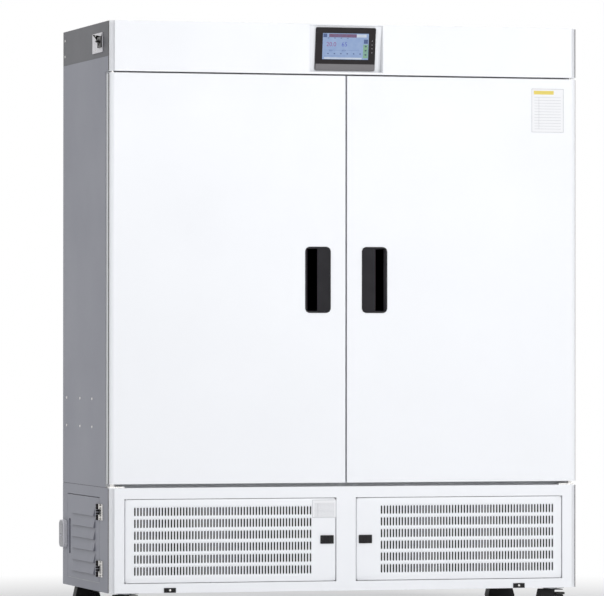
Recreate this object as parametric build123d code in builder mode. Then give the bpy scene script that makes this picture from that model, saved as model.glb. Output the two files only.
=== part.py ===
"""Dual-chamber incubator: an upright two-door cabinet with a foam-insulated body on levelling casters.

Millimetres. X to the right, Y to the back, Z up. The origin is on the floor under the middle of the body,
and the doors face -Y. "side" is -1 for the left half and +1 for the right half.
"""

import os
from math import cos, radians, sin, tan

from build123d import *

os.makedirs("parts", exist_ok=True)

# Overall size
width = 1560.0
depth = 660.0
height = 1900.0
caster_height = 83.0
base_height = 334.0
header_height = 160.5

# Sheet metal
sheet = 1.2
front_sheet = 1.5
edge_radius = 16.0
pan_depth = 20.0
seam = 1.0
touch_gap = 0.3

# Doors
door_gap_top = 5.0
door_gap_bottom = 12.0
door_gap_centre = 5.5
door_thickness = 46.0
door_reveal = 1.5
gasket_thickness = 12.0
gasket_width = 22.0
gasket_inset = 10.0
gasket_hinge_inset = 20.0
pivot_inset = 15.0
pivot_setback = 28.0
pivot_radius = 5.0
pivot_fit = 0.06
pivot_engagement = 18.0
pivot_plate = 4.0
pivot_plate_length = 50.0
pivot_collar = 3.0
pivot_collar_sides = 8
pivot_bore_play = 1.0

# Insulated body
side_wall = 70.0
centre_wall = 80.0
roof_wall = 60.0
floor_wall = 60.0
back_wall = 55.0
liner = 1.0

# Door handle
handle_width = 85.0
handle_height = 212.0
handle_radius = 16.0
handle_flange = 3.0
handle_flange_width = 4.0
handle_proud = 2.0
handle_depth = 33.0
handle_wall = 2.5
handle_window = 33.0
handle_inset = 52.0
handle_rise = 650.5
handle_core_gap = 0.5

# Header, instrument plate and operator panel
window_width = 245.0
window_height = 150.0
window_sill = 7.0
plate_tilt = 7.5
plate_top_setback = 4.0
operator_width = 200.0
operator_height = 139.0
operator_bezel = 6.0
operator_body_width = 191.0
operator_body_height = 133.0
operator_body_depth = 34.0
operator_radius = 5.0
screen_width = 154.0
screen_height = 84.0
screen_rise = 12.0
screen_shift = 3.0
screen_recess = 1.0

# Grille doors in the lower front panel
grille_outer_edge = 50.0
grille_head = 37.0
grille_inner_edge = 34.0
grille_bottom = 32.0
grille_gap = 1.5
grille_flange = 12.0
grille_pin_inset = 5.0
grille_pin_radius = 2.0
grille_pin_reach = 8.0
slot_latch_margin = 66.0
slot_pitch = 10.05
slot_width = 5.0
slot_height = 27.0
slot_row_pitch = 37.5
slot_field_inset = 36.0
slot_field_bottom = 24.0
slot_field_head = 26.0
screen_sheet = 0.8
screen_border = 8.0
opening_flange = 16.0

# Slide latches
latch_width = 44.0
latch_height = 27.0
latch_thickness = 3.0
latch_edge = 30.0
latch_travel = 8.0
latch_stem_width = 14.0
latch_stem_height = 8.0
latch_tongue = 2.0
latch_tongue_height = 14.0
latch_clearance = 0.5
latch_corner = 2.0
latch_ridges = 3
latch_ridge_pitch = 6.0
latch_ridge_width = 2.0
latch_ridge_margin = 4.0
latch_ridge_height = 1.0

# Clip plates on the bottom edge of the lower front panel
clip_inset = 197.0
clip_rise = 1.0
clip_width = 39.0
clip_height = 15.0
clip_thickness = 2.0
clip_screw_radius = 3.0
clip_screw_height = 1.0

# Side panels, service door and its hinges
top_skirt = 112.0
service_front = 139.0
service_rear = 69.0
service_head = 33.0
service_bottom = 27.0
service_gap = 2.0
louvre_count = 6
louvre_pitch = 37.3
louvre_pull_gap = 30.0
louvre_height = 30.0
louvre_depth = 7.0
louvre_margin = 59.0
louvre_rise = 25.5
hinge_height = 52.0
hinge_leaf = 44.0
hinge_leaf_thickness = 3.0
hinge_radius = 5.5
hinge_sides = 16
hinge_pin_radius = 2.5
hinge_fit = 0.06
hinge_play = 0.4
hinge_margin = 46.5
hinge_clearance = 1.0
pull_margin = 19.0
pull_length = 24.0
pull_rise = 77.0
pull_height = 116.0
pull_depth = 12.0

# Switch plate, breaker and outlet box
switch_front = 94.0
switch_length = 137.0
switch_drop = 32.5
switch_height = 63.0
switch_thickness = 3.0
breaker_front = 95.0
breaker_length = 48.0
breaker_height = 34.0
breaker_proud = 5.0
toggle_radius = 5.0
toggle_length = 7.0
toggle_width = 20.0
toggle_stand = 3.0
toggle_thickness = 6.0
toggle_tilt = 20.0
outlet_rear = 4.0
outlet_length = 62.0
outlet_bottom = 122.0
outlet_height = 90.0
outlet_depth = 15.0
outlet_corner = 11.0
outlet_chamfer = 3.0
flap_thickness = 4.0
flap_height = 34.0
flap_length = 44.0
flap_drop = 13.0
flap_pin_radius = 1.2
finger_notch = 6.0
socket_size = 24.0
socket_depth = 5.0

# Rear panel and cable gland
rear_vent_slots = 4
rear_vent_pitch = 36.0
rear_vent_length = 300.0
rear_vent_height = 10.0
rear_vent_bottom = 150.0
gland_radius = 12.0
gland_side = 140.0
gland_rise = 67.0
gland_hex_radius = 16.2
gland_hex_height = 5.0
gland_dome = 7.0
gland_taper = 15.0
gland_tail = 10.0
gland_bore = 6.0
gland_sides = 12

# Base frame
frame_tray_height = 30.0
frame_sheet = 2.5
post_size = 40.0

# Chamber fittings
duct_depth = 70.0
duct_margin = 20.0
duct_end_margin = 30.0
duct_slot_columns = 2
duct_slot_rows = 2
duct_slot_length = 240.0
duct_slot_height = 16.0
duct_slot_pitch_x = 280.0
duct_slot_pitch_z = 36.0
duct_slot_bottom = 90.0
fan_drop = 119.5
fan_hole_radius = 82.0
fan_radius = 75.0
fan_hub_radius = 20.0
fan_hub_sides = 10
fan_blades = 5
fan_depth = 22.0
fan_chord = 40.0
fan_blade_thickness = 2.0
fan_pitch = 28.0
fan_setback = 6.0
shaft_radius = 4.0
shaft_fit = 0.05
shaft_reach = 18.0
motor_radius = 32.0
motor_sides = 12
motor_gap = 2.0
evaporator_margin = 85.0
evaporator_rise = 323.0
evaporator_height = 360.0
evaporator_depth = 50.0
evaporator_grooves = 8
shelf_count = 3
shelf_rise = 283.0
shelf_pitch = 260.0
shelf_play = 2.0
shelf_front_gap = 25.0
shelf_rear_gap = 15.0
shelf_rod = 7.0
shelf_wire = 4.0
shelf_wires = 4
rail_width = 16.0
rail_thickness = 8.0
rail_inset = 60.0
rail_margin = 50.0
hook_reach = 12.0
hook_height = 10.0

# Machine room
condenser_width = 520.0
condenser_height = 270.0
condenser_depth = 44.0
condenser_front = 42.0
condenser_side = 360.0
condenser_wall = 3.0
condenser_fins = 6
condenser_fin = 1.5
collar_radius = 112.0
collar_wall = 3.0
collar_depth = 26.0
collar_sides = 24
condenser_fan_radius = 105.0
condenser_motor_length = 44.0
motor_arm = 10.0
motor_arm_thickness = 5.0
motor_arm_overlap = 1.0
compressor_radius = 78.0
compressor_height = 185.0
compressor_sides = 16
compressor_taper = 45.0
compressor_dome = 30.0
compressor_x = 250.0
compressor_rear = 200.0
compressor_foot = 12.0
compressor_foot_size = 22.0
compressor_plate_length = 200.0
compressor_plate_width = 130.0
compressor_plate = 3.0

# Casters
caster_side = 67.0
caster_front = 70.0
caster_rear = 60.0
caster_plate = 73.0
caster_plate_thickness = 3.0
race_radius = 22.0
race_sides = 16
race_height = 4.0
kingpin_radius = 5.0
kingpin_length = 17.0
swivel_gap = 0.4
swivel_fit = 0.06
housing_width = 44.0
housing_cheek = 8.5
housing_front = 38.0
housing_back = -36.0
housing_flare = 8.0
housing_neck = 26.0
housing_shoulder = 30.0
housing_low = 20.0
neck_edge = 9.0
wheel_radius = 25.0
wheel_sides = 36
wheel_width = 22.0
wheel_lift = 2.0
wheel_offset = -16.0
well_play = 2.5
well_front = 13.0
well_rear = 7.0
well_roof = 36.0
heel = 2.0
axle_radius = 4.0
pad_radius = 15.0
pad_sides = 24
pad_thickness = 8.0
pad_lift = 8.0
stem_offset = 30.0
stem_radius = 4.0
thumbwheel_radius = 20.0
thumbwheel_thickness = 7.0
thumbwheel_play = 0.5
thumbwheel_lobes = 12

# Levels and planes that follow from the driving sizes
front_y = -depth / 2
rear_y = depth / 2
door_back_y = front_y + door_thickness
frame_y = door_back_y + gasket_thickness
pan_back_y = front_y + pan_depth
body_front_y = frame_y + sheet
body_rear_y = rear_y - sheet
inner_x = width / 2 - sheet
flange_x = inner_x - seam
base_z = caster_height
base_top = base_z + base_height
door_bottom = base_top + door_gap_bottom
header_bottom = height - header_height
door_top = header_bottom - door_gap_top
door_height = door_top - door_bottom
door_width = (width - door_gap_centre) / 2
chamber_width = (width - 2 * side_wall - centre_wall) / 2
chamber_x = (centre_wall + chamber_width) / 2
chamber_floor = base_top + floor_wall
chamber_roof = header_bottom - roof_wall
chamber_height = chamber_roof - chamber_floor
chamber_mid_z = (chamber_roof + chamber_floor) / 2
chamber_back_y = body_rear_y - back_wall
pivot_x = width / 2 - pivot_inset
pivot_y = front_y + pivot_setback
skirt_bottom = height - top_skirt
handle_centre_z = door_bottom + handle_rise
fan_height = chamber_roof - fan_drop
shelf_first = chamber_floor + shelf_rise
evaporator_low = chamber_floor + evaporator_rise
evaporator_width = chamber_width - 2 * evaporator_margin
compressor_y = rear_y - compressor_rear
condenser_x = width / 2 - condenser_side
caster_x = width / 2 - caster_side
tray_floor_z = base_z + frame_sheet
sides = {"left": -1, "right": 1}


def plan_rectangle(x_one, x_two, y_low, y_high, z):
    """A rectangle in plan between two corners, at height z."""
    with BuildSketch(Plane.XY.offset(z)) as plan:
        with Locations(((x_one + x_two) / 2, (y_low + y_high) / 2)):
            Rectangle(abs(x_two - x_one), y_high - y_low)
    return plan.sketch


def folded_plan(free_x, hinge_x, face_y, back_y, radius, z):
    """Plan of a front panel whose edge at hinge_x is rounded and whose other edge is square."""
    side = 1 if hinge_x > free_x else -1
    with BuildSketch(Plane.XY.offset(z)) as plan:
        with BuildLine():
            Line((free_x, back_y), (free_x, face_y))
            Line((free_x, face_y), (hinge_x - side * radius, face_y))
            RadiusArc((hinge_x - side * radius, face_y), (hinge_x, face_y + radius), -side * radius)
            Line((hinge_x, face_y + radius), (hinge_x, back_y))
            Line((hinge_x, back_y), (free_x, back_y))
        make_face()
    return plan.sketch


def pan_plan(setback, z):
    """Plan of a full-width front pan with two rounded corners, drawn inset by setback."""
    half = width / 2 - setback
    face_y = front_y + setback
    radius = edge_radius - setback
    with BuildSketch(Plane.XY.offset(z)) as plan:
        with BuildLine():
            Line((-half, pan_back_y), (-half, face_y + radius))
            RadiusArc((-half, face_y + radius), (-half + radius, face_y), radius)
            Line((-half + radius, face_y), (half - radius, face_y))
            RadiusArc((half - radius, face_y), (half, face_y + radius), radius)
            Line((half, face_y + radius), (half, pan_back_y))
            Line((half, pan_back_y), (-half, pan_back_y))
        make_face()
    return plan.sketch


# Insulated body: a foam block with two open-fronted chambers
with BuildPart() as insulated_body:
    with BuildSketch(Plane.XY.offset(base_top)):
        with Locations((0, (body_front_y + body_rear_y) / 2)):
            Rectangle(2 * inner_x, body_rear_y - body_front_y)
    extrude(amount=header_bottom - base_top)
    with BuildSketch(Plane.XZ.offset(-body_front_y)):
        with Locations((-chamber_x, chamber_mid_z), (chamber_x, chamber_mid_z)):
            Rectangle(chamber_width, chamber_height)
    extrude(amount=-(chamber_back_y - body_front_y), mode=Mode.SUBTRACT)
insulated_body.part.label = "insulated_body"
export_step(insulated_body.part, "parts/insulated_body.step")

# Chamber liners: two stainless boxes, open at the front
with BuildPart() as chamber_liners:
    with BuildSketch(Plane.XZ.offset(-body_front_y)):
        with Locations((-chamber_x, chamber_mid_z), (chamber_x, chamber_mid_z)):
            Rectangle(chamber_width, chamber_height)
    extrude(amount=-(chamber_back_y - body_front_y))
    with BuildSketch(Plane.XZ.offset(-body_front_y)):
        with Locations((-chamber_x, chamber_mid_z), (chamber_x, chamber_mid_z)):
            Rectangle(chamber_width - 2 * liner, chamber_height - 2 * liner)
    extrude(amount=-(chamber_back_y - liner - body_front_y), mode=Mode.SUBTRACT)
chamber_liners.part.label = "chamber_liners"
export_step(chamber_liners.part, "parts/chamber_liners.step")

# Front frame: one sheet with both chamber openings and the middle post
with BuildPart() as front_frame:
    with BuildSketch(Plane.XZ.offset(-body_front_y)):
        with Locations((0, (base_top + header_bottom) / 2)):
            Rectangle(2 * inner_x, header_bottom - base_top)
        with Locations((-chamber_x, chamber_mid_z), (chamber_x, chamber_mid_z)):
            Rectangle(chamber_width - 2 * liner, chamber_height - 2 * liner, mode=Mode.SUBTRACT)
    extrude(amount=sheet)
front_frame.part.label = "front_frame"
export_step(front_frame.part, "parts/front_frame.step")

# Upper side panels: from the base seam to the top cover's skirt, stepped forward beside the header
for name, side in sides.items():
    with BuildPart() as side_panel:
        with BuildSketch(Plane.YZ.offset(side * width / 2)):
            with BuildLine():
                Polyline(
                    (frame_y, base_top + seam),
                    (frame_y, header_bottom),
                    (pan_back_y, header_bottom),
                    (pan_back_y, skirt_bottom),
                    (rear_y, skirt_bottom),
                    (rear_y, base_top + seam),
                    close=True,
                )
            make_face()
        extrude(amount=-side * sheet)
    side_panel.part.label = f"{name}_side_panel"
    export_step(side_panel.part, f"parts/{name}_side_panel.step")

# Top cover: a lid with a skirt on three sides
with BuildPart() as top_cover:
    with BuildSketch(Plane.XY.offset(skirt_bottom)):
        with Locations((0, (pan_back_y + rear_y) / 2)):
            Rectangle(width, rear_y - pan_back_y)
    extrude(amount=top_skirt)
    with BuildSketch(Plane.XY.offset(skirt_bottom)):
        with Locations((0, (pan_back_y + body_rear_y) / 2 - sheet)):
            Rectangle(2 * inner_x, body_rear_y - pan_back_y + 2 * sheet)
    extrude(amount=top_skirt - sheet, mode=Mode.SUBTRACT)
top_cover.part.label = "top_cover"
export_step(top_cover.part, "parts/top_cover.step")

# Rear panel: one sheet between the side panels, with two fields of vent slots and the gland hole
gland_x = gland_side - width / 2
gland_z = base_z + gland_rise
with BuildPart() as rear_panel:
    with BuildSketch(Plane.XZ.offset(-rear_y)):
        with Locations((0, (base_z + skirt_bottom) / 2)):
            Rectangle(2 * inner_x, skirt_bottom - base_z)
        rear_vent_z = base_z + rear_vent_bottom + (rear_vent_slots - 1) * rear_vent_pitch / 2
        with Locations((-compressor_x, rear_vent_z), (compressor_x, rear_vent_z)):
            with GridLocations(0, rear_vent_pitch, 1, rear_vent_slots):
                Rectangle(rear_vent_length, rear_vent_height, mode=Mode.SUBTRACT)
        with Locations((gland_x, gland_z)):
            RegularPolygon(gland_radius, gland_sides, mode=Mode.SUBTRACT)
    extrude(amount=sheet)
rear_panel.part.label = "rear_panel"
export_step(rear_panel.part, "parts/rear_panel.step")

# Cable gland: a body through the rear panel with a hexagonal nut and a tapered dome
with BuildPart() as cable_gland:
    with BuildSketch(Plane.XZ.offset(-rear_y)):
        with Locations((gland_x, gland_z)):
            RegularPolygon(gland_hex_radius, 6)
    extrude(amount=-gland_hex_height)
    with BuildSketch(Plane.XZ.offset(-rear_y - gland_hex_height)):
        with Locations((gland_x, gland_z)):
            RegularPolygon(gland_radius, gland_sides)
    extrude(amount=-gland_dome, taper=gland_taper)
    with BuildSketch(Plane.XZ.offset(-rear_y)):
        with Locations((gland_x, gland_z)):
            RegularPolygon(gland_radius - touch_gap, gland_sides)
    extrude(amount=sheet + gland_tail)
    with BuildSketch(Plane.XZ.offset(-rear_y - gland_hex_height - gland_dome)):
        with Locations((gland_x, gland_z)):
            RegularPolygon(gland_bore, gland_sides)
    extrude(amount=gland_dome, mode=Mode.SUBTRACT)
cable_gland.part.label = "cable_gland"
export_step(cable_gland.part, "parts/cable_gland.step")

# Base frame: a folded tray with four corner posts that carry the insulated body
tray_front_y = pan_back_y + seam
tray_mid_y = (tray_front_y + body_rear_y) / 2
tray_depth = body_rear_y - tray_front_y
with BuildPart() as base_frame:
    with BuildSketch(Plane.XY.offset(base_z)):
        with Locations((0, tray_mid_y)):
            Rectangle(2 * inner_x, tray_depth)
    extrude(amount=frame_tray_height)
    with BuildSketch(Plane.XY.offset(tray_floor_z)):
        with Locations((0, tray_mid_y)):
            Rectangle(2 * (inner_x - frame_sheet), tray_depth - 2 * frame_sheet)
    extrude(amount=frame_tray_height, mode=Mode.SUBTRACT)
    post_y_front = body_front_y + post_size / 2
    post_y_rear = body_rear_y - post_size / 2
    with BuildSketch(Plane.XY.offset(base_z)):
        for post_side in sides.values():
            for post_y, inward in ((post_y_front, 1), (post_y_rear, -1)):
                with Locations((post_side * (inner_x - post_size / 2), post_y)):
                    Rectangle(post_size, post_size)
                corner_x = post_side * (inner_x - post_size / 2 - frame_sheet)
                with Locations((corner_x, post_y + inward * frame_sheet)):
                    Rectangle(post_size, post_size, mode=Mode.SUBTRACT)
    extrude(amount=base_top - base_z)
base_frame.part.label = "base_frame"
export_step(base_frame.part, "parts/base_frame.step")

# Lower side panels with pressed louvres; the left one has the service opening
service_y = front_y + service_front
service_z = base_z + service_bottom
service_length = depth - service_front - service_rear
service_height = base_height - service_bottom - service_head
pull_y = service_y + service_length - service_gap - pull_margin - pull_length
pull_z = service_z + pull_rise
louvre_y = service_y + louvre_margin
louvre_z = service_z + louvre_rise
louvre_length = pull_y - louvre_pull_gap - louvre_y


def louvre_wedges(side, root_x, reach, drop, y_low, length):
    """Wedges of all louvre rows on one wall, from root_x out to reach; drop lowers the open edge."""
    with BuildPart() as wedges:
        for row in range(louvre_count):
            z = louvre_z + row * louvre_pitch
            with BuildSketch(Plane.XZ.offset(-y_low)):
                with BuildLine():
                    Polyline(
                        (root_x, z - drop),
                        (side * (width / 2 + reach), z - drop),
                        (root_x, z + louvre_height),
                        close=True,
                    )
                make_face()
            extrude(amount=-length)
    return wedges.part


def louvre_hoods(side):
    """The outer forms of the pressed louvres."""
    return louvre_wedges(side, side * width / 2, louvre_depth, 0, louvre_y, louvre_length)


def louvre_hollows(side):
    """What the press leaves open: the inside of each hood, through the sheet and out below."""
    root_x = side * (width / 2 - 2 * sheet)
    reach = louvre_depth - sheet
    return louvre_wedges(side, root_x, reach, seam, louvre_y + sheet, louvre_length - 2 * sheet)


with BuildPart() as left_base_panel:
    with BuildSketch(Plane.YZ.offset(-width / 2)):
        with Locations(((pan_back_y + rear_y) / 2, (base_z + base_top) / 2)):
            Rectangle(rear_y - pan_back_y, base_height)
        with Locations((service_y + service_length / 2, service_z + service_height / 2)):
            Rectangle(service_length, service_height, mode=Mode.SUBTRACT)
    extrude(amount=sheet)
left_base_panel.part.label = "left_base_panel"
export_step(left_base_panel.part, "parts/left_base_panel.step")

with BuildPart() as right_base_panel:
    with BuildSketch(Plane.YZ.offset(width / 2)):
        with Locations(((pan_back_y + rear_y) / 2, (base_z + base_top) / 2)):
            Rectangle(rear_y - pan_back_y, base_height)
    extrude(amount=-sheet)
    add(louvre_hoods(1))
    add(louvre_hollows(1), mode=Mode.SUBTRACT)
right_base_panel.part.label = "right_base_panel"
export_step(right_base_panel.part, "parts/right_base_panel.step")

# Service door: a louvred sheet with a sunk pull and the moving halves of two butt hinges
hinge_x = -width / 2 - hinge_radius - hinge_clearance
hinge_y = service_y - service_gap / 2
hinge_third = (hinge_height - 2 * hinge_play) / 3
hinge_levels = (service_z + hinge_margin, service_z + service_height - hinge_margin)
service_front_y = service_y + service_gap
service_rear_y = service_y + service_length - service_gap


def hinge_leaf_solid(z_mid, direction, knuckles):
    """One leaf of a butt hinge on the left wall; direction is -1 to the front, +1 to the rear."""
    root_y = hinge_y + direction * (hinge_radius + hinge_clearance)
    tip_y = hinge_y + direction * (hinge_radius + hinge_leaf)
    face_x = -width / 2 - hinge_leaf_thickness
    with BuildPart() as leaf:
        extrude(
            plan_rectangle(
                -width / 2, face_x, min(root_y, tip_y), max(root_y, tip_y), z_mid - hinge_height / 2
            ),
            amount=hinge_height,
        )
        for low, high in knuckles:
            with BuildSketch(Plane.XY.offset(z_mid + low)):
                with Locations((hinge_x, hinge_y)):
                    RegularPolygon(hinge_radius, hinge_sides)
                with BuildLine():
                    Polyline(
                        (hinge_x, hinge_y),
                        (-width / 2, root_y),
                        (face_x, root_y),
                        (hinge_x, hinge_y + direction * hinge_radius),
                        close=True,
                    )
                make_face()
            extrude(amount=high - low)
    return leaf.part


with BuildPart() as service_door:
    with BuildSketch(Plane.YZ.offset(-width / 2)):
        with Locations(((service_front_y + service_rear_y) / 2, service_z + service_height / 2)):
            Rectangle(service_rear_y - service_front_y, service_height - 2 * service_gap)
    extrude(amount=sheet)
    add(louvre_hoods(-1))
    add(louvre_hollows(-1), mode=Mode.SUBTRACT)
    with BuildSketch(Plane.YZ.offset(-width / 2)):
        with Locations((pull_y + pull_length / 2, pull_z + pull_height / 2)):
            Rectangle(pull_length, pull_height)
    extrude(amount=pull_depth)
    with BuildSketch(Plane.YZ.offset(-width / 2)):
        with Locations((pull_y + pull_length / 2, pull_z + pull_height / 2)):
            Rectangle(pull_length - 2 * sheet, pull_height - 2 * sheet)
    extrude(amount=pull_depth - sheet, mode=Mode.SUBTRACT)
    for level in hinge_levels:
        middle = hinge_third / 2
        add(hinge_leaf_solid(level, 1, [(-middle, middle)]))
        with BuildSketch(Plane.XY.offset(level - hinge_height / 2)):
            with Locations((hinge_x, hinge_y)):
                Circle(hinge_pin_radius + hinge_fit)
        extrude(amount=hinge_height, mode=Mode.SUBTRACT)
service_door.part.label = "service_door"
export_step(service_door.part, "parts/service_door.step")

# Fixed hinge leaves with their pins, on the lower left side panel
with BuildPart() as service_hinge_leaves:
    for level in hinge_levels:
        outer = hinge_height / 2
        inner = hinge_third / 2 + hinge_play
        add(hinge_leaf_solid(level, -1, [(-outer, -inner), (inner, outer)]))
        with BuildSketch(Plane.XY.offset(level - hinge_height / 2)):
            with Locations((hinge_x, hinge_y)):
                Circle(hinge_pin_radius)
        extrude(amount=hinge_height)
service_hinge_leaves.part.label = "service_hinge_leaves"
export_step(service_hinge_leaves.part, "parts/service_hinge_leaves.step")


# Header panel: a pan with rounded vertical edges, a window and a deep lower flange
window_bottom = header_bottom + window_sill
window_mid_z = window_bottom + window_height / 2
with BuildPart() as header_panel:
    extrude(pan_plan(0, header_bottom), amount=header_height)
    extrude(
        pan_plan(front_sheet, header_bottom + front_sheet),
        amount=header_height - 2 * front_sheet,
        mode=Mode.SUBTRACT,
    )
    extrude(
        plan_rectangle(-flange_x, flange_x, pan_back_y - front_sheet, frame_y, header_bottom),
        amount=front_sheet,
    )
    with BuildSketch(Plane.XZ.offset(-front_y)):
        with Locations((0, window_mid_z)):
            Rectangle(window_width, window_height)
    extrude(amount=-front_sheet, mode=Mode.SUBTRACT)
    with BuildSketch(Plane.XY.offset(header_bottom)):
        with Locations((-pivot_x, pivot_y), (pivot_x, pivot_y)):
            Circle(pivot_radius + touch_gap)
    extrude(amount=front_sheet, mode=Mode.SUBTRACT)
header_panel.part.label = "header_panel"
export_step(header_panel.part, "parts/header_panel.step")

# Instrument plate: the tilted back of the header window with its two cheeks
plate_drop = window_height * tan(radians(plate_tilt))
plate_top_y = front_y + front_sheet + plate_top_setback
plate_low_y = plate_top_y + plate_drop
rim_step = sheet * tan(radians(plate_tilt))
plate_top = (plate_top_y, window_bottom + window_height)
plate_low = (plate_low_y, window_bottom)
plate_face = Plane(
    origin=(0, (plate_top_y + plate_low_y) / 2, window_mid_z),
    x_dir=(1, 0, 0),
    z_dir=(0, -cos(radians(plate_tilt)), -sin(radians(plate_tilt))),
)
with BuildPart() as instrument_plate:
    with BuildSketch(Plane.YZ.offset(-window_width / 2)):
        with BuildLine():
            Polyline(
                (front_y + front_sheet, window_bottom),
                (front_y + front_sheet, window_bottom + window_height),
                plate_top,
                (plate_top[0] + 2 * sheet, plate_top[1]),
                (plate_low[0] + 2 * sheet, plate_low[1]),
                plate_low,
                close=True,
            )
        make_face()
    extrude(amount=window_width)
    with BuildSketch(Plane.YZ.offset(-window_width / 2 + sheet)):
        with BuildLine():
            Polyline(
                (front_y, window_bottom + sheet),
                (front_y, window_bottom + window_height - sheet),
                (plate_top[0] + rim_step, plate_top[1] - sheet),
                (plate_low[0] - rim_step, plate_low[1] + sheet),
                close=True,
            )
        make_face()
    extrude(amount=window_width - 2 * sheet, mode=Mode.SUBTRACT)
    with BuildSketch(plate_face):
        Rectangle(operator_body_width + 2 * touch_gap, operator_body_height + 2 * touch_gap)
    extrude(amount=operator_bezel, both=True, mode=Mode.SUBTRACT)
instrument_plate.part.label = "instrument_plate"
export_step(instrument_plate.part, "parts/instrument_plate.step")

# Operator panel: a bezel on the plate and a box body behind it, with the screen sunk in the bezel
screen_up = screen_rise - screen_shift
screen_face = Plane(
    origin=plate_face.origin + plate_face.z_dir * operator_bezel + plate_face.y_dir * screen_up,
    x_dir=plate_face.x_dir,
    z_dir=plate_face.z_dir,
)
with BuildPart() as operator_panel:
    with BuildSketch(plate_face):
        RectangleRounded(operator_width, operator_height, operator_radius)
    extrude(amount=operator_bezel)
    with BuildSketch(plate_face):
        Rectangle(operator_body_width, operator_body_height)
    extrude(amount=-operator_body_depth)
    with BuildSketch(screen_face):
        Rectangle(screen_width, screen_height)
    extrude(amount=-2 * screen_recess, mode=Mode.SUBTRACT)
operator_panel.part.label = "operator_panel"
export_step(operator_panel.part, "parts/operator_panel.step")

with BuildPart() as operator_screen:
    with BuildSketch(screen_face.offset(-2 * screen_recess)):
        Rectangle(screen_width, screen_height)
    extrude(amount=screen_recess)
operator_screen.part.label = "operator_screen"
export_step(operator_screen.part, "parts/operator_screen.step")

# Lower front panel: a pan with two flanged openings, the grille hinge pins and a deep upper flange
grille_width = width / 2 - grille_inner_edge - grille_outer_edge
grille_height = base_height - grille_bottom - grille_head
grille_centre_x = grille_inner_edge + grille_width / 2
grille_low = base_z + grille_bottom
grille_high = grille_low + grille_height
grille_mid_z = (grille_low + grille_high) / 2
grille_pin_x = grille_inner_edge + grille_width - grille_pin_inset
grille_pin_y = front_y + grille_pin_inset
latch_x = grille_inner_edge + latch_edge
tongue_y = front_y + opening_flange + latch_clearance
with BuildPart() as base_front_panel:
    extrude(pan_plan(0, base_z), amount=base_height)
    extrude(
        pan_plan(front_sheet, base_z + front_sheet), amount=base_height - 2 * front_sheet, mode=Mode.SUBTRACT
    )
    extrude(
        plan_rectangle(-flange_x, flange_x, pan_back_y - front_sheet, frame_y, base_top - front_sheet),
        amount=front_sheet,
    )
    with BuildSketch(Plane.XZ.offset(-front_y)):
        with Locations((-grille_centre_x, grille_mid_z), (grille_centre_x, grille_mid_z)):
            Rectangle(grille_width + 2 * (grille_gap + sheet), grille_height + 2 * (grille_gap + sheet))
    extrude(amount=-opening_flange)
    with BuildSketch(Plane.XZ.offset(-front_y)):
        with Locations((-grille_centre_x, grille_mid_z), (grille_centre_x, grille_mid_z)):
            Rectangle(grille_width + 2 * grille_gap, grille_height + 2 * grille_gap)
    extrude(amount=-opening_flange, mode=Mode.SUBTRACT)
    pin_spots = [(side * grille_pin_x, grille_pin_y) for side in sides.values()]
    with BuildSketch(Plane.XY.offset(grille_low - grille_gap)):
        with Locations(*pin_spots):
            Circle(grille_pin_radius)
    extrude(amount=grille_pin_reach)
    with BuildSketch(Plane.XY.offset(grille_high + grille_gap)):
        with Locations(*pin_spots):
            Circle(grille_pin_radius)
    extrude(amount=-grille_pin_reach)
base_front_panel.part.label = "base_front_panel"
export_step(base_front_panel.part, "parts/base_front_panel.step")

# Clip plates with a screw head, on the bottom edge of the lower front panel
clip_z = base_z + clip_rise + clip_height / 2
clip_spots = [(side * (width / 2 - clip_inset), clip_z) for side in sides.values()]
with BuildPart() as base_clips:
    with BuildSketch(Plane.XZ.offset(-front_y)):
        with Locations(*clip_spots):
            Rectangle(clip_width, clip_height)
    extrude(amount=clip_thickness)
    with BuildSketch(Plane.XZ.offset(-front_y + clip_thickness)):
        with Locations(*clip_spots):
            Circle(clip_screw_radius)
    extrude(amount=clip_screw_height)
base_clips.part.label = "base_clips"
export_step(base_clips.part, "parts/base_clips.step")

# Door pivots: pins on plates above and below each door's outer edge
with BuildPart() as door_pivots:
    for side in sides.values():
        plate_x = side * (flange_x - seam - pivot_plate_length / 2)
        plate_y = (frame_y + pan_back_y) / 2
        plate_width = frame_y - pan_back_y - 2 * seam
        upper_plate_z = header_bottom + front_sheet
        for plate_z, pin_low, pin_high in (
            (upper_plate_z, door_top - pivot_engagement, upper_plate_z + pivot_plate),
            (base_top, base_top, door_bottom + pivot_engagement),
        ):
            with BuildSketch(Plane.XY.offset(plate_z)):
                with Locations((plate_x, plate_y)):
                    Rectangle(pivot_plate_length, plate_width)
            extrude(amount=pivot_plate)
            with BuildSketch(Plane.XY.offset(pin_low)):
                with Locations((side * pivot_x, pivot_y)):
                    Circle(pivot_radius)
            extrude(amount=pin_high - pin_low)
        with BuildSketch(Plane.XY.offset(base_top + pivot_plate)):
            with Locations((side * pivot_x, pivot_y)):
                RegularPolygon(pivot_radius + pivot_collar, pivot_collar_sides)
        extrude(amount=door_gap_bottom - pivot_plate - touch_gap)
door_pivots.part.label = "door_pivots"
export_step(door_pivots.part, "parts/door_pivots.step")

# Doors: a white pan, a foam core with a light edge band, a magnetic gasket and a recessed handle
def door_spot(side, distance):
    """X of a point on a door, measured from the door's free edge towards its hinge."""
    return side * (door_gap_centre / 2 + distance)


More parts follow.
